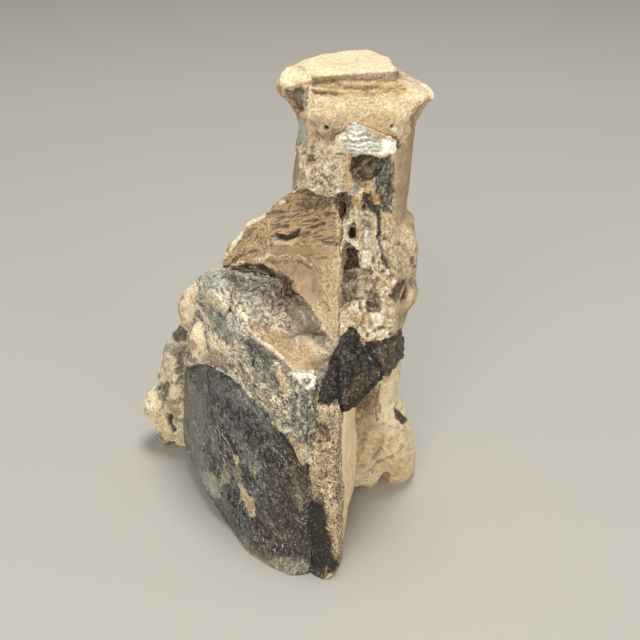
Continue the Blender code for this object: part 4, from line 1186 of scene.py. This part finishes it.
def makeBand():
    v = mottledBand
    work = startPiece("mottledBand", ["rim_band"], v)
    p, x, y = work["rest"], work["x"], work["y"]
    # Fibres run down to the right along the band, and more steeply at its lower end
    run, steep = runBetween(*v["run"]), runBetween(*v["steepRun"])
    low = ramp(x, *v["lowLeft"])
    thin = squeezed(p, run, 0.85) * (1 - low)[:, None] + squeezed(p, steep, 0.85) * low[:, None]
    fibres = layered(thin, 1.3, 51, 5, 0.75)
    cracks = creased(thin, 2.4, 58, 3, 0.6)
    chips = facets(p, 1.7, 52)
    lumps = layered(p, 3.6, 53, 5, 0.7)
    relief = v["fibres"] * fibres + v["chips"] * chips + v["lumps"] * lumps
    work["height"] += relief - v["cracks"] * ramp(cracks, 0.86, 0.96)
    mix = 1.2 * fibres + 0.3 * chips + 0.6 * lumps
    shade = coat(work, mix, -0.7, 0.7, "soot slate ash ash cream chalk")
    cool = ramp(layered(p, 5, 54, 3), -0.2, 0.3) * (1 - ramp(y, *v["coolFoot"]))
    paint(work, cool * 0.4, blendTones(shade, "slate steel steel ice ice"))
    paint(work, ramp(cracks, 0.84, 0.94) * 0.85, tones["soot"])
    flecks(work, 0.8, "cream", 0.6, 3.5, run, 55, 0.40, 0.1)
    # Glossy white flecks: painted glints over real shine
    flecks(work, 0.9, "white", 0.45, 1.5, run, 57, 0.50, 0.1, 0.9)
    work["gloss"][:] = np.maximum(work["gloss"], 0.35)
    work["grit"][:] = 0.85
    sculpt(work, bandMarks)
    paintedDirtAndLight = {"dirtAndShade": 0.6, "dirtAndShadeTone": "soot", "wearAndHighlight": 0.4, "wearAndHighlightTone": "ice"}
    finishWork(work, darkBone, "mottled_bone", ["rim_band"], **paintedDirtAndLight)
    wanted = work["shown"] * ramp(layered(p, 3, 59, 3, 0.6), -0.2, 0.4)
    scatterGrains("bandCrystals", work, wanted, brightCrystal)


bandMarks = [
    # Its upper left corner
    area("steel ice ice", 0.1, [202,274, 213,266, 224,274, 228,290, 216,294, 206,288],
        cover=0.75, patchy=0.3),
    line("soot slate", 0.3, -0.4, [208,276, 214,288, 224,298], cover=0.8),
    area("buff cream chalk", 0.25, [205,291, 212,289, 221,296, 228,308, 225,314, 214,307, 207,300],
        soft=0.8, patchy=0.2),
    area("drab brown ash", 0, [221,270, 236,272, 244,290, 241,308, 229,296], cover=0.85, patchy=0.2),
    line("soot ink", 0.45, -0.4, [214,276, 222,290, 230,308, 241,324, 250,337], soft=0.5, patchy=0.2),
    # Slate and cream under it
    area("slate steel ink", 0, [211,316, 226,310, 241,326, 247,342, 232,346, 216,336],
        cover=0.7, patchy=0.3),
    area("ice steel white", 0, [222,320, 236,320, 242,334, 232,340], cover=0.6, patchy=0.5, gloss=0.8),
    area("buff cream chalk", 0.3, [208,334, 217,335, 226,344, 232,353, 224,356, 212,347],
        soft=0.8, patchy=0.2),
    area("umber pinkish brown", -0.4, [208,352, 220,350, 228,362, 222,370, 210,364], cover=0.9),
    line("buff cream", 0.4, 0.3, [214,354, 222,362], patchy=0.4),
    line("cream buff", 0.6, 0.25, [226,352, 236,363, 243,374], patchy=0.4),
    line("cream buff ash", 0.6, 0.25, [236,342, 243,354, 250,366, 257,376], patchy=0.4),
    # The dark hollow behind the crest, the dark middle and the long cream vein
    area("soot ink slate", -0.3, [242,340, 256,340, 268,348, 278,355, 276,363, 262,361, 250,355],
        cover=0.9, patchy=0.15),
    area("ink slate drab", -0.1, [254,362, 274,362, 281,380, 286,402, 274,394, 258,380],
        cover=0.65, patchy=0.2),
    area("drab buff buff cream", 0.2, [275,368, 282,364, 287,376, 290,392, 287,402, 281,392, 277,380],
        soft=0.7, patchy=0.1),
    line("drab ash", 0.9, 0.1, [250,386, 262,397, 272,411, 280,427], cover=0.6, patchy=0.3),
    # It drops away behind its crest, where the dish begins
    area(None, -2.2, [(226, 264), (300, 284), (340, 372), *dishCrest[::-1]], soft=0.4, ragged=0.3),
    line("cream chalk white", 0.5, 0.5, dishCrest[:-1], ragged=0.6, patchy=0.2),
    area("cream white chalk", 0.4, [292,370, 300,373, 304,372, 312,371, 317,380, 315,390, 311,386,
        310,378, 300,378, 294,376], soft=0.5, gloss=0.9),
    area("umber soot drab", -0.3, [272,352, 288,362, 293,372, 284,374], cover=0.8, patchy=0.3),
    area("ink slate soot white", 0, [292,382, 316,392, 315,420, 304,450, 292,438, 288,408],
        cover=0.7, patchy=0.3, gloss=0.7),
    area("tan buff brown", 0.2, [290,440, 302,444, 309,458, 304,463, 296,455], soft=0.8, cover=0.9),
    line("soot ink", 0.5, -0.4, [296,392, 300,412, 304,436], cover=0.7, patchy=0.3),
    line("soot", 0.4, -0.4, [308,404, 309,424, 306,442], cover=0.8),
]

makeBand()


# The dish: the scooped hollow behind the band, crinkled and glinting
crinkledDish = {
    "swell": 0.45, "grain": 0.34, "soften": 10, "crinkle": 0.55, "chips": 0.40,
    # The block cut from the core, and how far its sides sink into it, in millimetres
    "blockGrain": 0.6, "blockSoften": 6, "left": -24.0, "right": 24.0, "bottom": 60.0, "back": 16.0,
    "fade": 2.0, "sink": 2.0,
    # The way of its streaks, from one photo pixel to another
    "run": [(262, 300), (300, 345)],
    # Where its smooth right side begins and the crystals under the flange end, as photo columns and rows
    "smoothLeft": (286, 318), "topFoot": (290, 305),
}


def makeDish():
    v = crinkledDish
    obj = fineCopy("crinkledDish", ["core", "rim_band"], v["swell"], v["blockGrain"], v["blockSoften"])
    cutBlock(obj, [
        ((0, 0, v["bottom"] * mm), (0, 0, -1)), ((0, v["back"] * mm, 0), (0, 1, 0)),
        ((v["left"] * mm, 0, 0), (-1, 0, 0)), ((v["right"] * mm, 0, 0), (1, 0, 0)),
    ])
    work = startWork(evenSkin(obj, v["grain"], v["soften"]))
    p, x, y = work["rest"], work["x"], work["y"]
    px, py, pz = p.T / mm
    # Its cut sides sink into the core
    edge = np.min([px - v["left"], v["right"] - px, pz - v["bottom"], v["back"] - py], axis=0)
    work["height"] -= v["sink"] * (1 - ramp(edge, 0, v["fade"]))
    # Crinkled up on the left, smooth down on the right
    smooth = ramp(x + 0.6 * (y - 300), *v["smoothLeft"])
    crinkle = creased(p, 2.4, 61, 4, 0.7)
    chips = facets(p, 1.5, 62)
    run = runBetween(*v["run"])
    fine = layered(squeezed(p, run, 0.5), 0.8, 63, 3, 0.7)
    rough = 1 - 0.7 * smooth
    work["height"] += rough * (v["crinkle"] * (crinkle - 0.65) + v["chips"] * chips) + 0.1 * fine
    mix = rough * (0.9 * (crinkle - 0.68) + 0.45 * chips) + 0.4 * fine + 0.2 * layered(p, 4, 64, 4)
    coat(work, mix, -0.6, 0.6, "umber drab ash pinkish cream chalk")
    # Glossy white flecks: painted glints over real shine
    flecks(work, rough * 0.9, "white", 0.45, 1.5, run, 65, 0.44, 0.1, 1.0)
    flecks(work, rough * 0.8, "umber", 0.7, 2, run, 66, 0.42, -0.2)
    work["gloss"][:] = 0.6
    sculpt(work, dishMarks)
    finishWork(work, layeredBone, "mottled_bone", ["core"], dirtAndShade=0.65, wearAndHighlight=0.4, wearAndHighlightTone="chalk")
    top = 1 - ramp(y + 0.5 * (x - 260), *v["topFoot"])
    wanted = work["shown"] * rough * np.maximum(0.4 * ramp(layered(p, 3, 69, 3, 0.6), 0.0, 0.4), top)
    scatterGrains("dishCrystals", work, wanted, brightCrystal)
    scatterGrains("dishGrains", work, wanted * top, blackGrain)


dishMarks = [
    area(None, -2.2, [(190, 262), (222, 264), *dishCrest, (340, 380), (340, 480), (180, 480)],
        soft=0.4, ragged=0.3),
    # Under the flange: the deep shadow line, and glinting grey below it
    area("soot soot umber", -1.8, [222,262, 250,262, 276,266, 292,278, 300,294, 297,297, 289,284, 276,277,
        262,274, 240,273, 224,272], soft=0.7, cover=0.97, grit=0.5),
    area("ink ash ice white", 0.1, [234,274, 262,275, 276,280, 276,290, 262,289, 238,286],
        cover=0.85, gloss=1.0, grit=1.8, patchy=0.15),
    area("brown drab umber", 0, [222,274, 238,276, 242,296, 228,292], cover=0.8),
    area("ash ice drab", 0, [236,288, 262,290, 268,316, 252,322, 240,306],
        cover=0.6, patchy=0.3, gloss=0.9),
    area("umber drab brown", -0.3, [262,286, 286,288, 292,304, 280,314, 264,302], cover=0.75, patchy=0.3),
    line("umber", 0.3, -0.5, [262,296, 272,300, 278,310], cover=0.8),
    line("umber", 0.3, -0.5, [246,296, 254,304, 262,308], cover=0.8),
    line("umber", 0.25, -0.4, [268,312, 276,320, 288,324], cover=0.7),
    # Its smooth right wall, with the grey-green lens and the thin pale line over it
    area("drab brown ash", -0.1, [284,278, 294,286, 304,302, 302,322, 288,320, 282,300],
        cover=0.85, grit=0.6, soft=2),
    area("moss drab moss ash", -0.2, [298,300, 306,302, 316,318, 326,338, 326,352, 314,346, 303,330],
        cover=0.85, gloss=0.9, grit=0.6),
    # Glints on the lens, painted white over real gloss
    line("ice white", 0.7, 0.15, [302,311, 306,322], cover=0.8, gloss=1.0, patchy=0.3),
    line("buff cream", 0.35, 0.3, [299,298, 309,312, 318,328, 327,347], soft=0.4),
    area("ash buff cream moss", 0, [300,332, 318,342, 330,354, 328,372, 312,374, 302,352],
        cover=0.85, gloss=0.6),
    area(None, 0.9, [282,324, 308,328, 330,342, 330,358, 310,352, 284,338], soft=4),
    # Caramel floor with cream streaks, and the pale crests by the band
    area("golden buff caramel golden", 0, [252,324, 272,328, 292,338, 310,350, 317,364, 306,370, 288,364,
        270,352, 256,340], cover=0.75, gloss=0.6, grit=0.6, soft=3),
    line("cream chalk white", 0.5, 0.2, [276,328, 284,331, 292,337, 299,342, 304,350],
        cover=0.9, patchy=0.3, gloss=0.8),
    line("cream buff", 0.6, 0.1, [264,338, 280,349, 296,358], cover=0.7, patchy=0.5),
    line("cream chalk white", 0.7, 0.3, [238,308, 250,326, 258,342, 272,350, 290,366],
        cover=0.9, ragged=0.9),
    line("chalk white", 0.6, 0.7, [290,371, 298,374, 304,374, 311,372, 314,379, 315,388], gloss=0.7),
    area("cream drab white", -0.2, [295,377, 304,377, 312,378, 312,388, 300,388], cover=0.85),
    area("moss steel drab white", 0.1, [313,370, 326,364, 327,382, 317,388], cover=0.85, gloss=1.0),
]

makeDish()


# The broken end of the plate, its spongy inside showing
brokenEdge = {
    "swell": 0.25, "grain": 0.26, "soften": 6, "cellSize": 0.75, "cells": 0.24, "rock": 0.35,
    # The way of its grain, from one photo pixel to another, and the photo rows where its flank turns black
    "run": [(326, 430), (331, 470)], "blackTop": (496, 508),
}


def makeBrokenEdge():
    v = brokenEdge
    work = startPiece("brokenEdge", ["spongy_edge"], v)
    p = work["rest"]
    pores = layered(p, v["cellSize"], 71, 2, 0.7)
    rock = layered(p, 3.5, 72, 4, 0.6)
    work["height"] += v["cells"] * pores + v["rock"] * rock
    coat(work, 0.6 * pores + 0.8 * rock, -0.6, 0.6, "brown drab tan buff cream")
    run = runBetween(*v["run"])
    flecks(work, 0.8, "umber", 0.8, 1.3, run, 73, 0.34, -0.2)
    flecks(work, 0.8, "cream", 0.5, 1.3, run, 74, 0.42, 0.1)
    work["grit"][:] = 1.0
    sculpt(work, edgeMarks)
    flank = ramp(-work["facing"][:, 0], 0.1, 0.5) * ramp(work["y"], *v["blackTop"])
    paint(work, flank * 0.95, tones["soot"])
    finishWork(work, spongyBone, "brown_bone", ["spongy_edge"], dirtAndShade=0.45, wearAndHighlight=0.3)
    wanted = ramp(work["grit"], 0.5, 0.8)
    scatterGrains("edgeGrit", work, wanted, creamGrit)
    scatterGrains("edgeGrains", work, wanted, blackGrain)


edgeMarks = [
    area("soot umber soot", 0.1, [316,362, 339,360, 339,400, 332,409, 316,406],
        cover=0.95, gloss=0.7, grit=0.8),
    area("cream straw tan buff", 0.15, [318,405, 340,405, 340,438, 332,438, 330,424, 320,422],
        cover=0.8, patchy=0.2),
    area("umber soot rust", -0.4, [318,424, 326,424, 331,432, 331,442, 322,440],
        cover=0.9, patchy=0.2, soft=0.8),
    area("umber brown", -0.3, [327,412, 335,412, 335,436, 330,430], cover=0.6, patchy=0.5, soft=0.8),
    area("soot ink", -0.2, [310,404, 318,404, 315,440, 306,446], cover=0.8, patchy=0.3, soft=0.8),
    area("soot soot umber", -0.35, [300,500, 319,502, 325,511, 329,532, 334,548, 341,560, 338,570,
        326,575, 300,567, 300,530], soft=0.5, cover=1.0, gloss=0.1, grit=0.3),
    area("tan buff brown", 0.3, [325,503, 340,498, 340,562, 334,558, 330,535], cover=0.7, patchy=0.4),
    area("ash drab", 0.2, [296,566, 312,566, 328,569, 324,578, 304,576], cover=0.85, grit=0.6),
    line("buff cream", 0.4, 0.2, [339,420, 339,450, 340,480, 341,505], cover=0.7, patchy=0.3),
]

makeBrokenEdge()


# The glossy black wedge, with a grooved lower facet
blackWedge = {
    "swell": 0.3, "grain": 0.26, "soften": 5, "chips": 0.4, "fine": 0.2, "grooves": 0.15,
    # The ways of its grain and of its grooves, from one photo pixel to another, and the photo rows where
    # the grooves begin
    "run": [(350, 340), (356, 360)], "across": [(344, 388), (364, 374)], "groovesTop": (366, 372),
}


def makeWedge():
    v = blackWedge
    work = startPiece("blackWedge", ["black_wedge"], v)
    p, x, y = work["rest"], work["x"], work["y"]
    chips = facets(p, 1.5, 81)
    fine = layered(p, 0.9, 82, 3, 0.7)
    work["height"] += v["chips"] * chips + v["fine"] * fine + 0.2 * layered(p, 3, 84, 3)
    coat(work, 0.5 * chips + 0.5 * fine, -0.5, 0.5, "soot soot soot umber")
    run = runBetween(*v["run"])
    # Glossy pale flecks: painted glints over real shine
    flecks(work, 0.7, "drab", 0.5, 1.5, run, 83, 0.46, 0.1, 1.0)
    flecks(work, 0.6, "ash", 0.35, 1.2, run, 85, 0.56, 0.1, 1.0)
    work["gloss"][:] = 0.6
    work["grit"][:] = 1.1
    # The cross grooves of its lower facet
    across = runBetween(*v["across"])
    grooves = layered(squeezed(p, across, 0.9), 0.8, 86, 2, 0.6)
    work["height"] += v["grooves"] * ramp(y + 0.6 * (x - 361), *v["groovesTop"]) * grooves
    sculpt(work, [
        line("tan cream", 0.35, 0.3, [360,332, 364,345, 369,357, 378,374],
            soft=0.35, cover=0.85, patchy=0.3),
        line("brown drab", 0.8, 0.1, [344,352, 352,356], cover=0.5, patchy=0.5),
        line("ash drab", 0.3, 0.2, [341,360, 346,370, 344,384], cover=0.7, patchy=0.5),
        line("soot", 0.5, -0.9, [337,360, 338,380, 339,396, 341,410]),
        area("soot umber brown drab", 0, [341,404, 344,389, 359,374, 378,368, 377,377, 360,392, 347,405],
            cover=0.8, soft=1.0, patchy=0.2),
        line("drab ash", 0.3, 0.2, [341,400, 345,389, 359,375, 374,370], cover=0.7, patchy=0.6),
    ])
    paintedDirtAndLight = {"dirtAndShade": 0.4, "dirtAndShadeTone": "soot", "wearAndHighlight": 0.2, "wearAndHighlightTone": "drab"}
    finishWork(work, darkBone, "dark_bone", ["black_wedge"], **paintedDirtAndLight)
    scatterGrains("wedgeGrains", work, work["shown"], blackGrain)


makeWedge()


# The brown lump beside the wedge
brownLump = {"swell": 0.3, "grain": 0.28, "soften": 6, "chips": 0.35, "rock": 0.25}


def makeLump():
    v = brownLump
    work = startPiece("brownLump", ["brown_lump"], v)
    p = work["rest"]
    work["height"] += v["chips"] * facets(p, 2.0, 91) + v["rock"] * layered(p, 1.6, 92, 4, 0.7)
    coat(work, layered(p, 2.2, 93, 4, 0.75), -0.5, 0.5, "soot soot umber umber brown drab")
    work["gloss"][:] = 0.65
    work["grit"][:] = 1.2
    sculpt(work, [
        area("tan buff cream", 0.2, [364,316, 402,314, 402,325, 392,329, 378,327, 366,330],
            cover=0.9, patchy=0.2),
        line("cream tan", 0.35, 0.3, [374,350, 378,362, 381,373], soft=0.35, cover=0.9),
        line("soot", 0.6, -0.6, [372,336, 374,348], cover=0.8),
        line("soot", 0.5, -0.6, [390,336, 388,352, 390,362], cover=0.7),
        line("tan buff", 0.3, 0.2, [380,340, 386,346], cover=0.7),
    ])
    finishWork(work, layeredBone, "brown_bone", ["brown_lump"], dirtAndShade=0.6, dirtAndShadeTone="soot", wearAndHighlight=0.4)


makeLump()


# The pale inner face of the plate
paleLining = {"swell": 0.3, "grain": 0.42, "soften": 25, "rock": 0.35, "fine": 0.08}


def makeLining():
    v = paleLining
    work = startPiece("paleLining", ["lining"], v)
    p = work["rest"]
    rock = layered(p, 6, 111, 4)
    work["height"] += v["rock"] * rock + v["fine"] * layered(p, 1.2, 112, 3)
    upright = layered(p * np.array([1, 1, 0.3]), 4, 113, 4, 0.6)
    coat(work, upright + 0.3 * rock, -0.8, 0.3, "buff straw straw straw")
    work["grit"][:] = 0.55
    sculpt(work, [
        line("brown tan", 0.35, -0.4, [347,416, 346,428, 347,440], cover=0.7, patchy=0.4),
        line("tan brown", 0.5, -0.2, [353,420, 352,450, 352,480], cover=0.4, patchy=0.4),
        area("tan buff", 0, [341,520, 352,514, 350,548, 342,558], cover=0.6, soft=3),
    ])
    finishWork(work, mudstone, "cream_mudstone", ["lining"], dirtAndShade=0.4, dirtAndShadeTone="tan")


makeLining()


# The rear foot: a cream pillar, stained brown by the wedge, with knobs and a black chip
rearFoot = {"swell": 0.3, "grain": 0.38, "soften": 12, "lumps": 0.6, "knobs": 0.6, "fine": 0.10}


def makeRearFoot():
    v = rearFoot
    work = startPiece("rearFoot", ["rear_foot"], v)
    p = work["rest"]
    lumps = layered(p, 4.5, 121, 5, 0.65)
    knobs = creased(p, 3.6, 122, 3, 0.6)
    fine = layered(p, 1.0, 123, 3, 0.7)
    work["height"] += v["lumps"] * lumps + v["knobs"] * (knobs - 0.7) + v["fine"] * fine
    mix = 0.5 * layered(p, 6, 124, 5, 0.65) + 0.4 * lumps + 0.5 * (knobs - 0.7)
    coat(work, mix, -0.7, 0.3, "tan buff buff cream cream")
    patches = ramp(layered(p, 3.0, 125, 4, 0.7), 0.2, 0.45)
    paint(work, patches * 0.4, tones["brown"])
    work["grit"][:] = 0.6
    sculpt(work, rearMarks)
    finishWork(work, mudstone, "cream_mudstone", ["rear_foot"], dirtAndShade=0.65, dirtAndShadeTone="brown", wearAndHighlight=0.35)


rearMarks = [
    # Painted shade: darker brown where the foot turns in towards the lining
    area("brown tan buff", 0, [350,396, 384,390, 388,440, 372,470, 350,474],
        cover=0.5, soft=5, patchy=0.4),
    area("brown drab umber", -0.3, [352,384, 372,380, 380,392, 376,412, 362,420, 350,412],
        cover=0.8, patchy=0.2),
    area("umber brown", -0.4, [358,388, 368,386, 372,398, 366,412, 358,408],
        cover=0.7, patchy=0.4, soft=1.5),
    area("tan ash drab", 0, [352,418, 372,414, 376,430, 356,440], cover=0.7, patchy=0.3),
    line("brown umber", 0.4, -0.6, [373,388, 375,404, 377,420], cover=0.7, patchy=0.3),
    line("umber brown", 0.5, -0.5, [380,384, 377,398, 380,412], cover=0.8, patchy=0.2),
    area("umber soot", 0.2, [393,406, 400,412, 408,420, 402,425, 395,418],
        soft=0.4, ragged=0.2, cover=0.97, gloss=0.5),
    line("brown umber", 0.4, -0.5, [384,424, 391,427, 399,427], cover=0.8),
    # Painted shade between the knobs, over shallow dents
    line("brown tan", 0.8, -0.6, [383,436, 380,448, 374,458], cover=0.5, soft=1.6),
    line("brown tan", 0.8, -0.6, [364,434, 361,450], cover=0.5, soft=1.6),
    line("tan brown", 0.8, -0.6, [378,462, 392,456, 404,446], cover=0.5, soft=1.6),
    # Painted shade under the toe
    area("tan golden buff", 0, [384,462, 414,448, 416,484, 384,484], cover=0.5, soft=5),
    line("brown tan", 0.9, -0.3, [356,418, 355,440, 356,462], cover=0.5, patchy=0.3),
    area("chalk cream", 0.1, [378,390, 394,390, 390,406, 388,420, 382,422], cover=0.5, patchy=0.3),
]

makeRearFoot()


# The left foot: knobs of mudstone over dark bone
leftFoot = {
    "swell": 0.3, "grain": 0.40, "soften": 8, "lean": 2.8, "lumps": 0.6, "chips": 0.4, "reach": 8,
    # The part that leans, as photo rows and columns, and the way of its grain between two photo pixels
    "leanFoot": (318, 346), "leanRight": (190, 206), "run": [(170, 350), (172, 390)],
}


def makeLeftFoot():
    v = leftFoot
    obj = fineCopy("leftFoot", ["left_foot"], v["swell"], v["grain"], v["soften"])
    # Its top leans in behind the upper nodule
    places = readPoints(obj.data)
    x, y, _ = toPixels(places)
    places[:, 0] += v["lean"] * mm * (1 - ramp(y, *v["leanFoot"])) * (1 - ramp(x, *v["leanRight"]))
    writePoints(obj.data, places)
    work = startWork(obj, v["reach"])
    p = work["rest"]
    lumps = layered(p, 3.4, 131, 5, 0.7)
    chips = facets(p, 2.4, 132)
    work["height"] += v["lumps"] * lumps + v["chips"] * chips
    mix = 0.6 * layered(p, 4.0, 133, 5, 0.75) + 0.3 * chips + 0.4 * lumps
    shade = coat(work, mix, -0.5, 0.5, "slate ash ash pinkish cream cream chalk chalk")
    run = runBetween(*v["run"])
    flecks(work, 0.7, "umber", 0.8, 1.5, run, 134, 0.46, -0.25)
    flecks(work, 0.6, "chalk", 0.6, 1.5, run, 135, 0.46, 0.15)
    # Its back is taken to be as brown as the core beside it
    paint(work, 0.65 * ramp(work["facing"][:, 1], 0.0, 0.6), blendTones(shade, "brown tan drab"))
    sculpt(work, leftMarks)
    finishWork(work, mudstone, "cream_mudstone", ["left_foot"], dirtAndShade=0.5)


leftMarks = [
    # The dark lump at the top and the grey, mottled stretch under it
    area("slate ink moss", 0.2, [172,322, 187,324, 188,342, 176,342, 171,334], cover=0.95, soft=0.8),
    area("cream buff", 0.1, [167,334, 173,334, 174,344, 166,346], cover=0.8, soft=0.8),
    area("slate ash moss", 0, [162,344, 187,342, 188,358, 176,360, 162,354],
        cover=0.8, soft=1.0, patchy=0.2),
    area("pinkish cream chalk", 0.3, [166,354, 175,355, 176,374, 167,374], cover=0.9, soft=0.8),
    area("drab brown ash", -0.3, [176,350, 185,352, 186,380, 177,381], cover=0.85, soft=0.8, patchy=0.2),
    area("slate ice ash white", 0.1, [184,358, 193,360, 193,398, 185,398], cover=0.85, soft=0.8),
    area("pinkish brown", 0, [186,350, 194,350, 193,362, 186,360], cover=0.8),
    # The knob on the far left with its white spot, and the grey hollow beside it
    area("buff cream chalk", 0.2, [141,392, 156,390, 162,402, 158,414, 145,414], cover=0.9, soft=1.0),
    line("white", 1.1, 0.2, [149,406], cover=0.95),
    area("slate ink ash", -0.4, [157,382, 168,384, 168,402, 160,400], cover=0.85, soft=0.8, patchy=0.2),
    # The pale strips down to the floor, and the dark crack between them
    area("straw cream chalk", 0.3, [170,384, 183,384, 184,408, 173,408], cover=0.9, soft=0.8),
    area("pinkish tan ash", -0.1, [166,398, 174,400, 177,418, 168,416], cover=0.85, soft=0.8),
    area("straw cream golden", 0.3, [149,410, 163,407, 172,422, 174,440, 162,436, 152,424],
        cover=0.9, soft=1.0),
    line("soot umber", 1.1, -1.0, [170,417, 174,430], cover=0.9, soft=0.6),
    area("pinkish cream cream", 0.2, [175,424, 184,422, 191,452, 178,448], cover=0.9, soft=0.8),
    # Painted shade under the pale strip
    area("umber brown", -0.2, [148,430, 160,436, 178,446, 186,460, 150,450], cover=0.7, soft=1.5),
]

makeLeftFoot()


# Two pale nodules set in the plate's upper left corner
nodules = {
    "swell": 0.35, "grain": 0.34, "soften": 16, "rock": 0.5, "waves": 0.8,
    # Growth about the middle, and the move in millimetres
    "upperNodule": (1.0, (1.6, 1.0, 0.2)),
    "lowerNodule": (1.08, (1.5, -2.0, 1.0)),
}


def makeNodule(name, source, seed, marks):
    v = nodules
    obj = fineCopy(name, [source], v["swell"], v["grain"], v["soften"])
    growth, shift = v[name]
    places = readPoints(obj.data)
    middle = places.mean(0)
    writePoints(obj.data, middle + (places - middle) * growth + np.array(shift) * mm)
    work = startWork(obj)
    p = work["rest"]
    rock = layered(p, 3.0, seed, 4, 0.6)
    work["height"] += v["rock"] * rock + v["waves"] * layered(p, 7, seed + 2, 2)
    mix = 0.7 * layered(p, 3.5, seed + 1, 4, 0.7) + 0.3 * rock
    coat(work, mix, -0.5, 0.35, "tan tan pinkish cream cream")
    work["grit"][:] = 0.8
    sculpt(work, marks)
    finishWork(work, mudstone, "cream_mudstone", [source])


makeNodule("upperNodule", "nodule_upper", 141, [
    area("drab tan", -0.2, [188,296, 197,292, 200,300, 192,304], cover=0.5, patchy=0.3),
])
makeNodule("lowerNodule", "nodule_lower", 151, [
    area("ice cream", 0, [197,326, 203,328, 202,345, 197,344], cover=0.35),
])


# The core: mudstone and crushed bone that fills the block and shows at its back
coreMass = {
    "blockGrain": 0.7, "blockSoften": 4, "swell": 0.1, "grain": 0.56, "soften": 10,
    "lumps": 0.9, "chips": 0.4, "sink": -2.6,  # sink: how far it drops away behind the dish
}


def makeCore():
    v = coreMass
    obj = fineCopy("coreMass", ["core"], v["swell"], v["blockGrain"], v["blockSoften"])
    trimEdge(obj)
    work = startWork(evenSkin(obj, v["grain"], v["soften"]))
    p = work["rest"]
    lumps = layered(p, 6, 161, 5, 0.65)
    chips = facets(p, 3.2, 162)
    work["height"] += v["lumps"] * lumps + v["chips"] * chips + 0.15 * layered(p, 1.4, 164, 3)
    sculpt(work, [area(None, v["sink"], dishOutline, soft=0.5, ragged=0)])
    mix = 0.8 * layered(p, 6, 163, 5, 0.75) + 0.3 * lumps
    coat(work, mix, -0.6, 0.6, "brown drab drab tan tan buff")
    finishWork(work, mudstone, "mottled_bone", ["core"])


makeCore()

# Studio
studio = {
    "floor": "#aca79e",
    "floorRough": 0.9,
    "floorSize": 3.0,
    "world": 0.36,
    "aim": (0.01, 0, 0.07),
    # Place and width of each lamp in metres, and its power in watts
    "lamps": {
        "key": ((0.12, 0.10, 1.45), 0.55, 16.5),
        "fill": ((-0.20, -0.75, 0.42), 0.6, 5.0),
        "side": ((0.55, -0.60, 0.25), 0.5, 1.6),
    },
}


def areaLight(name, place, size, power):
    lamp = bpy.data.lights.new(name, "AREA")
    lamp.shape = "DISK"
    lamp.size = size
    lamp.energy = power
    made = bpy.data.objects.new(name, lamp)
    bpy.context.scene.collection.objects.link(made)
    made.location = place
    made.rotation_euler = (Vector(studio["aim"]) - Vector(place)).to_track_quat("-Z", "Y").to_euler()


def makeStudio():
    body = bmesh.new()
    bmesh.ops.create_grid(body, x_segments=1, y_segments=1, size=studio["floorSize"])
    mesh = bpy.data.meshes.new("floor")
    body.to_mesh(mesh)
    body.free()
    floor = bpy.data.objects.new("floor", mesh)
    bpy.context.scene.collection.objects.link(floor)
    mesh.materials.append(plainMaterial("paleStudioFloor", studio["floor"], studio["floorRough"]))
    world = bpy.data.worlds.new("softRoom")
    world.use_nodes = True
    light = world.node_tree.nodes["Background"].inputs
    light["Color"].default_value = (1, 1, 1, 1)
    light["Strength"].default_value = studio["world"]
    bpy.context.scene.world = world
    bpy.context.scene.view_settings.view_transform = "Standard"
    for name, lamp in studio["lamps"].items():
        areaLight(name, *lamp)


makeCamera()
makeStudio()
print("studio ready")
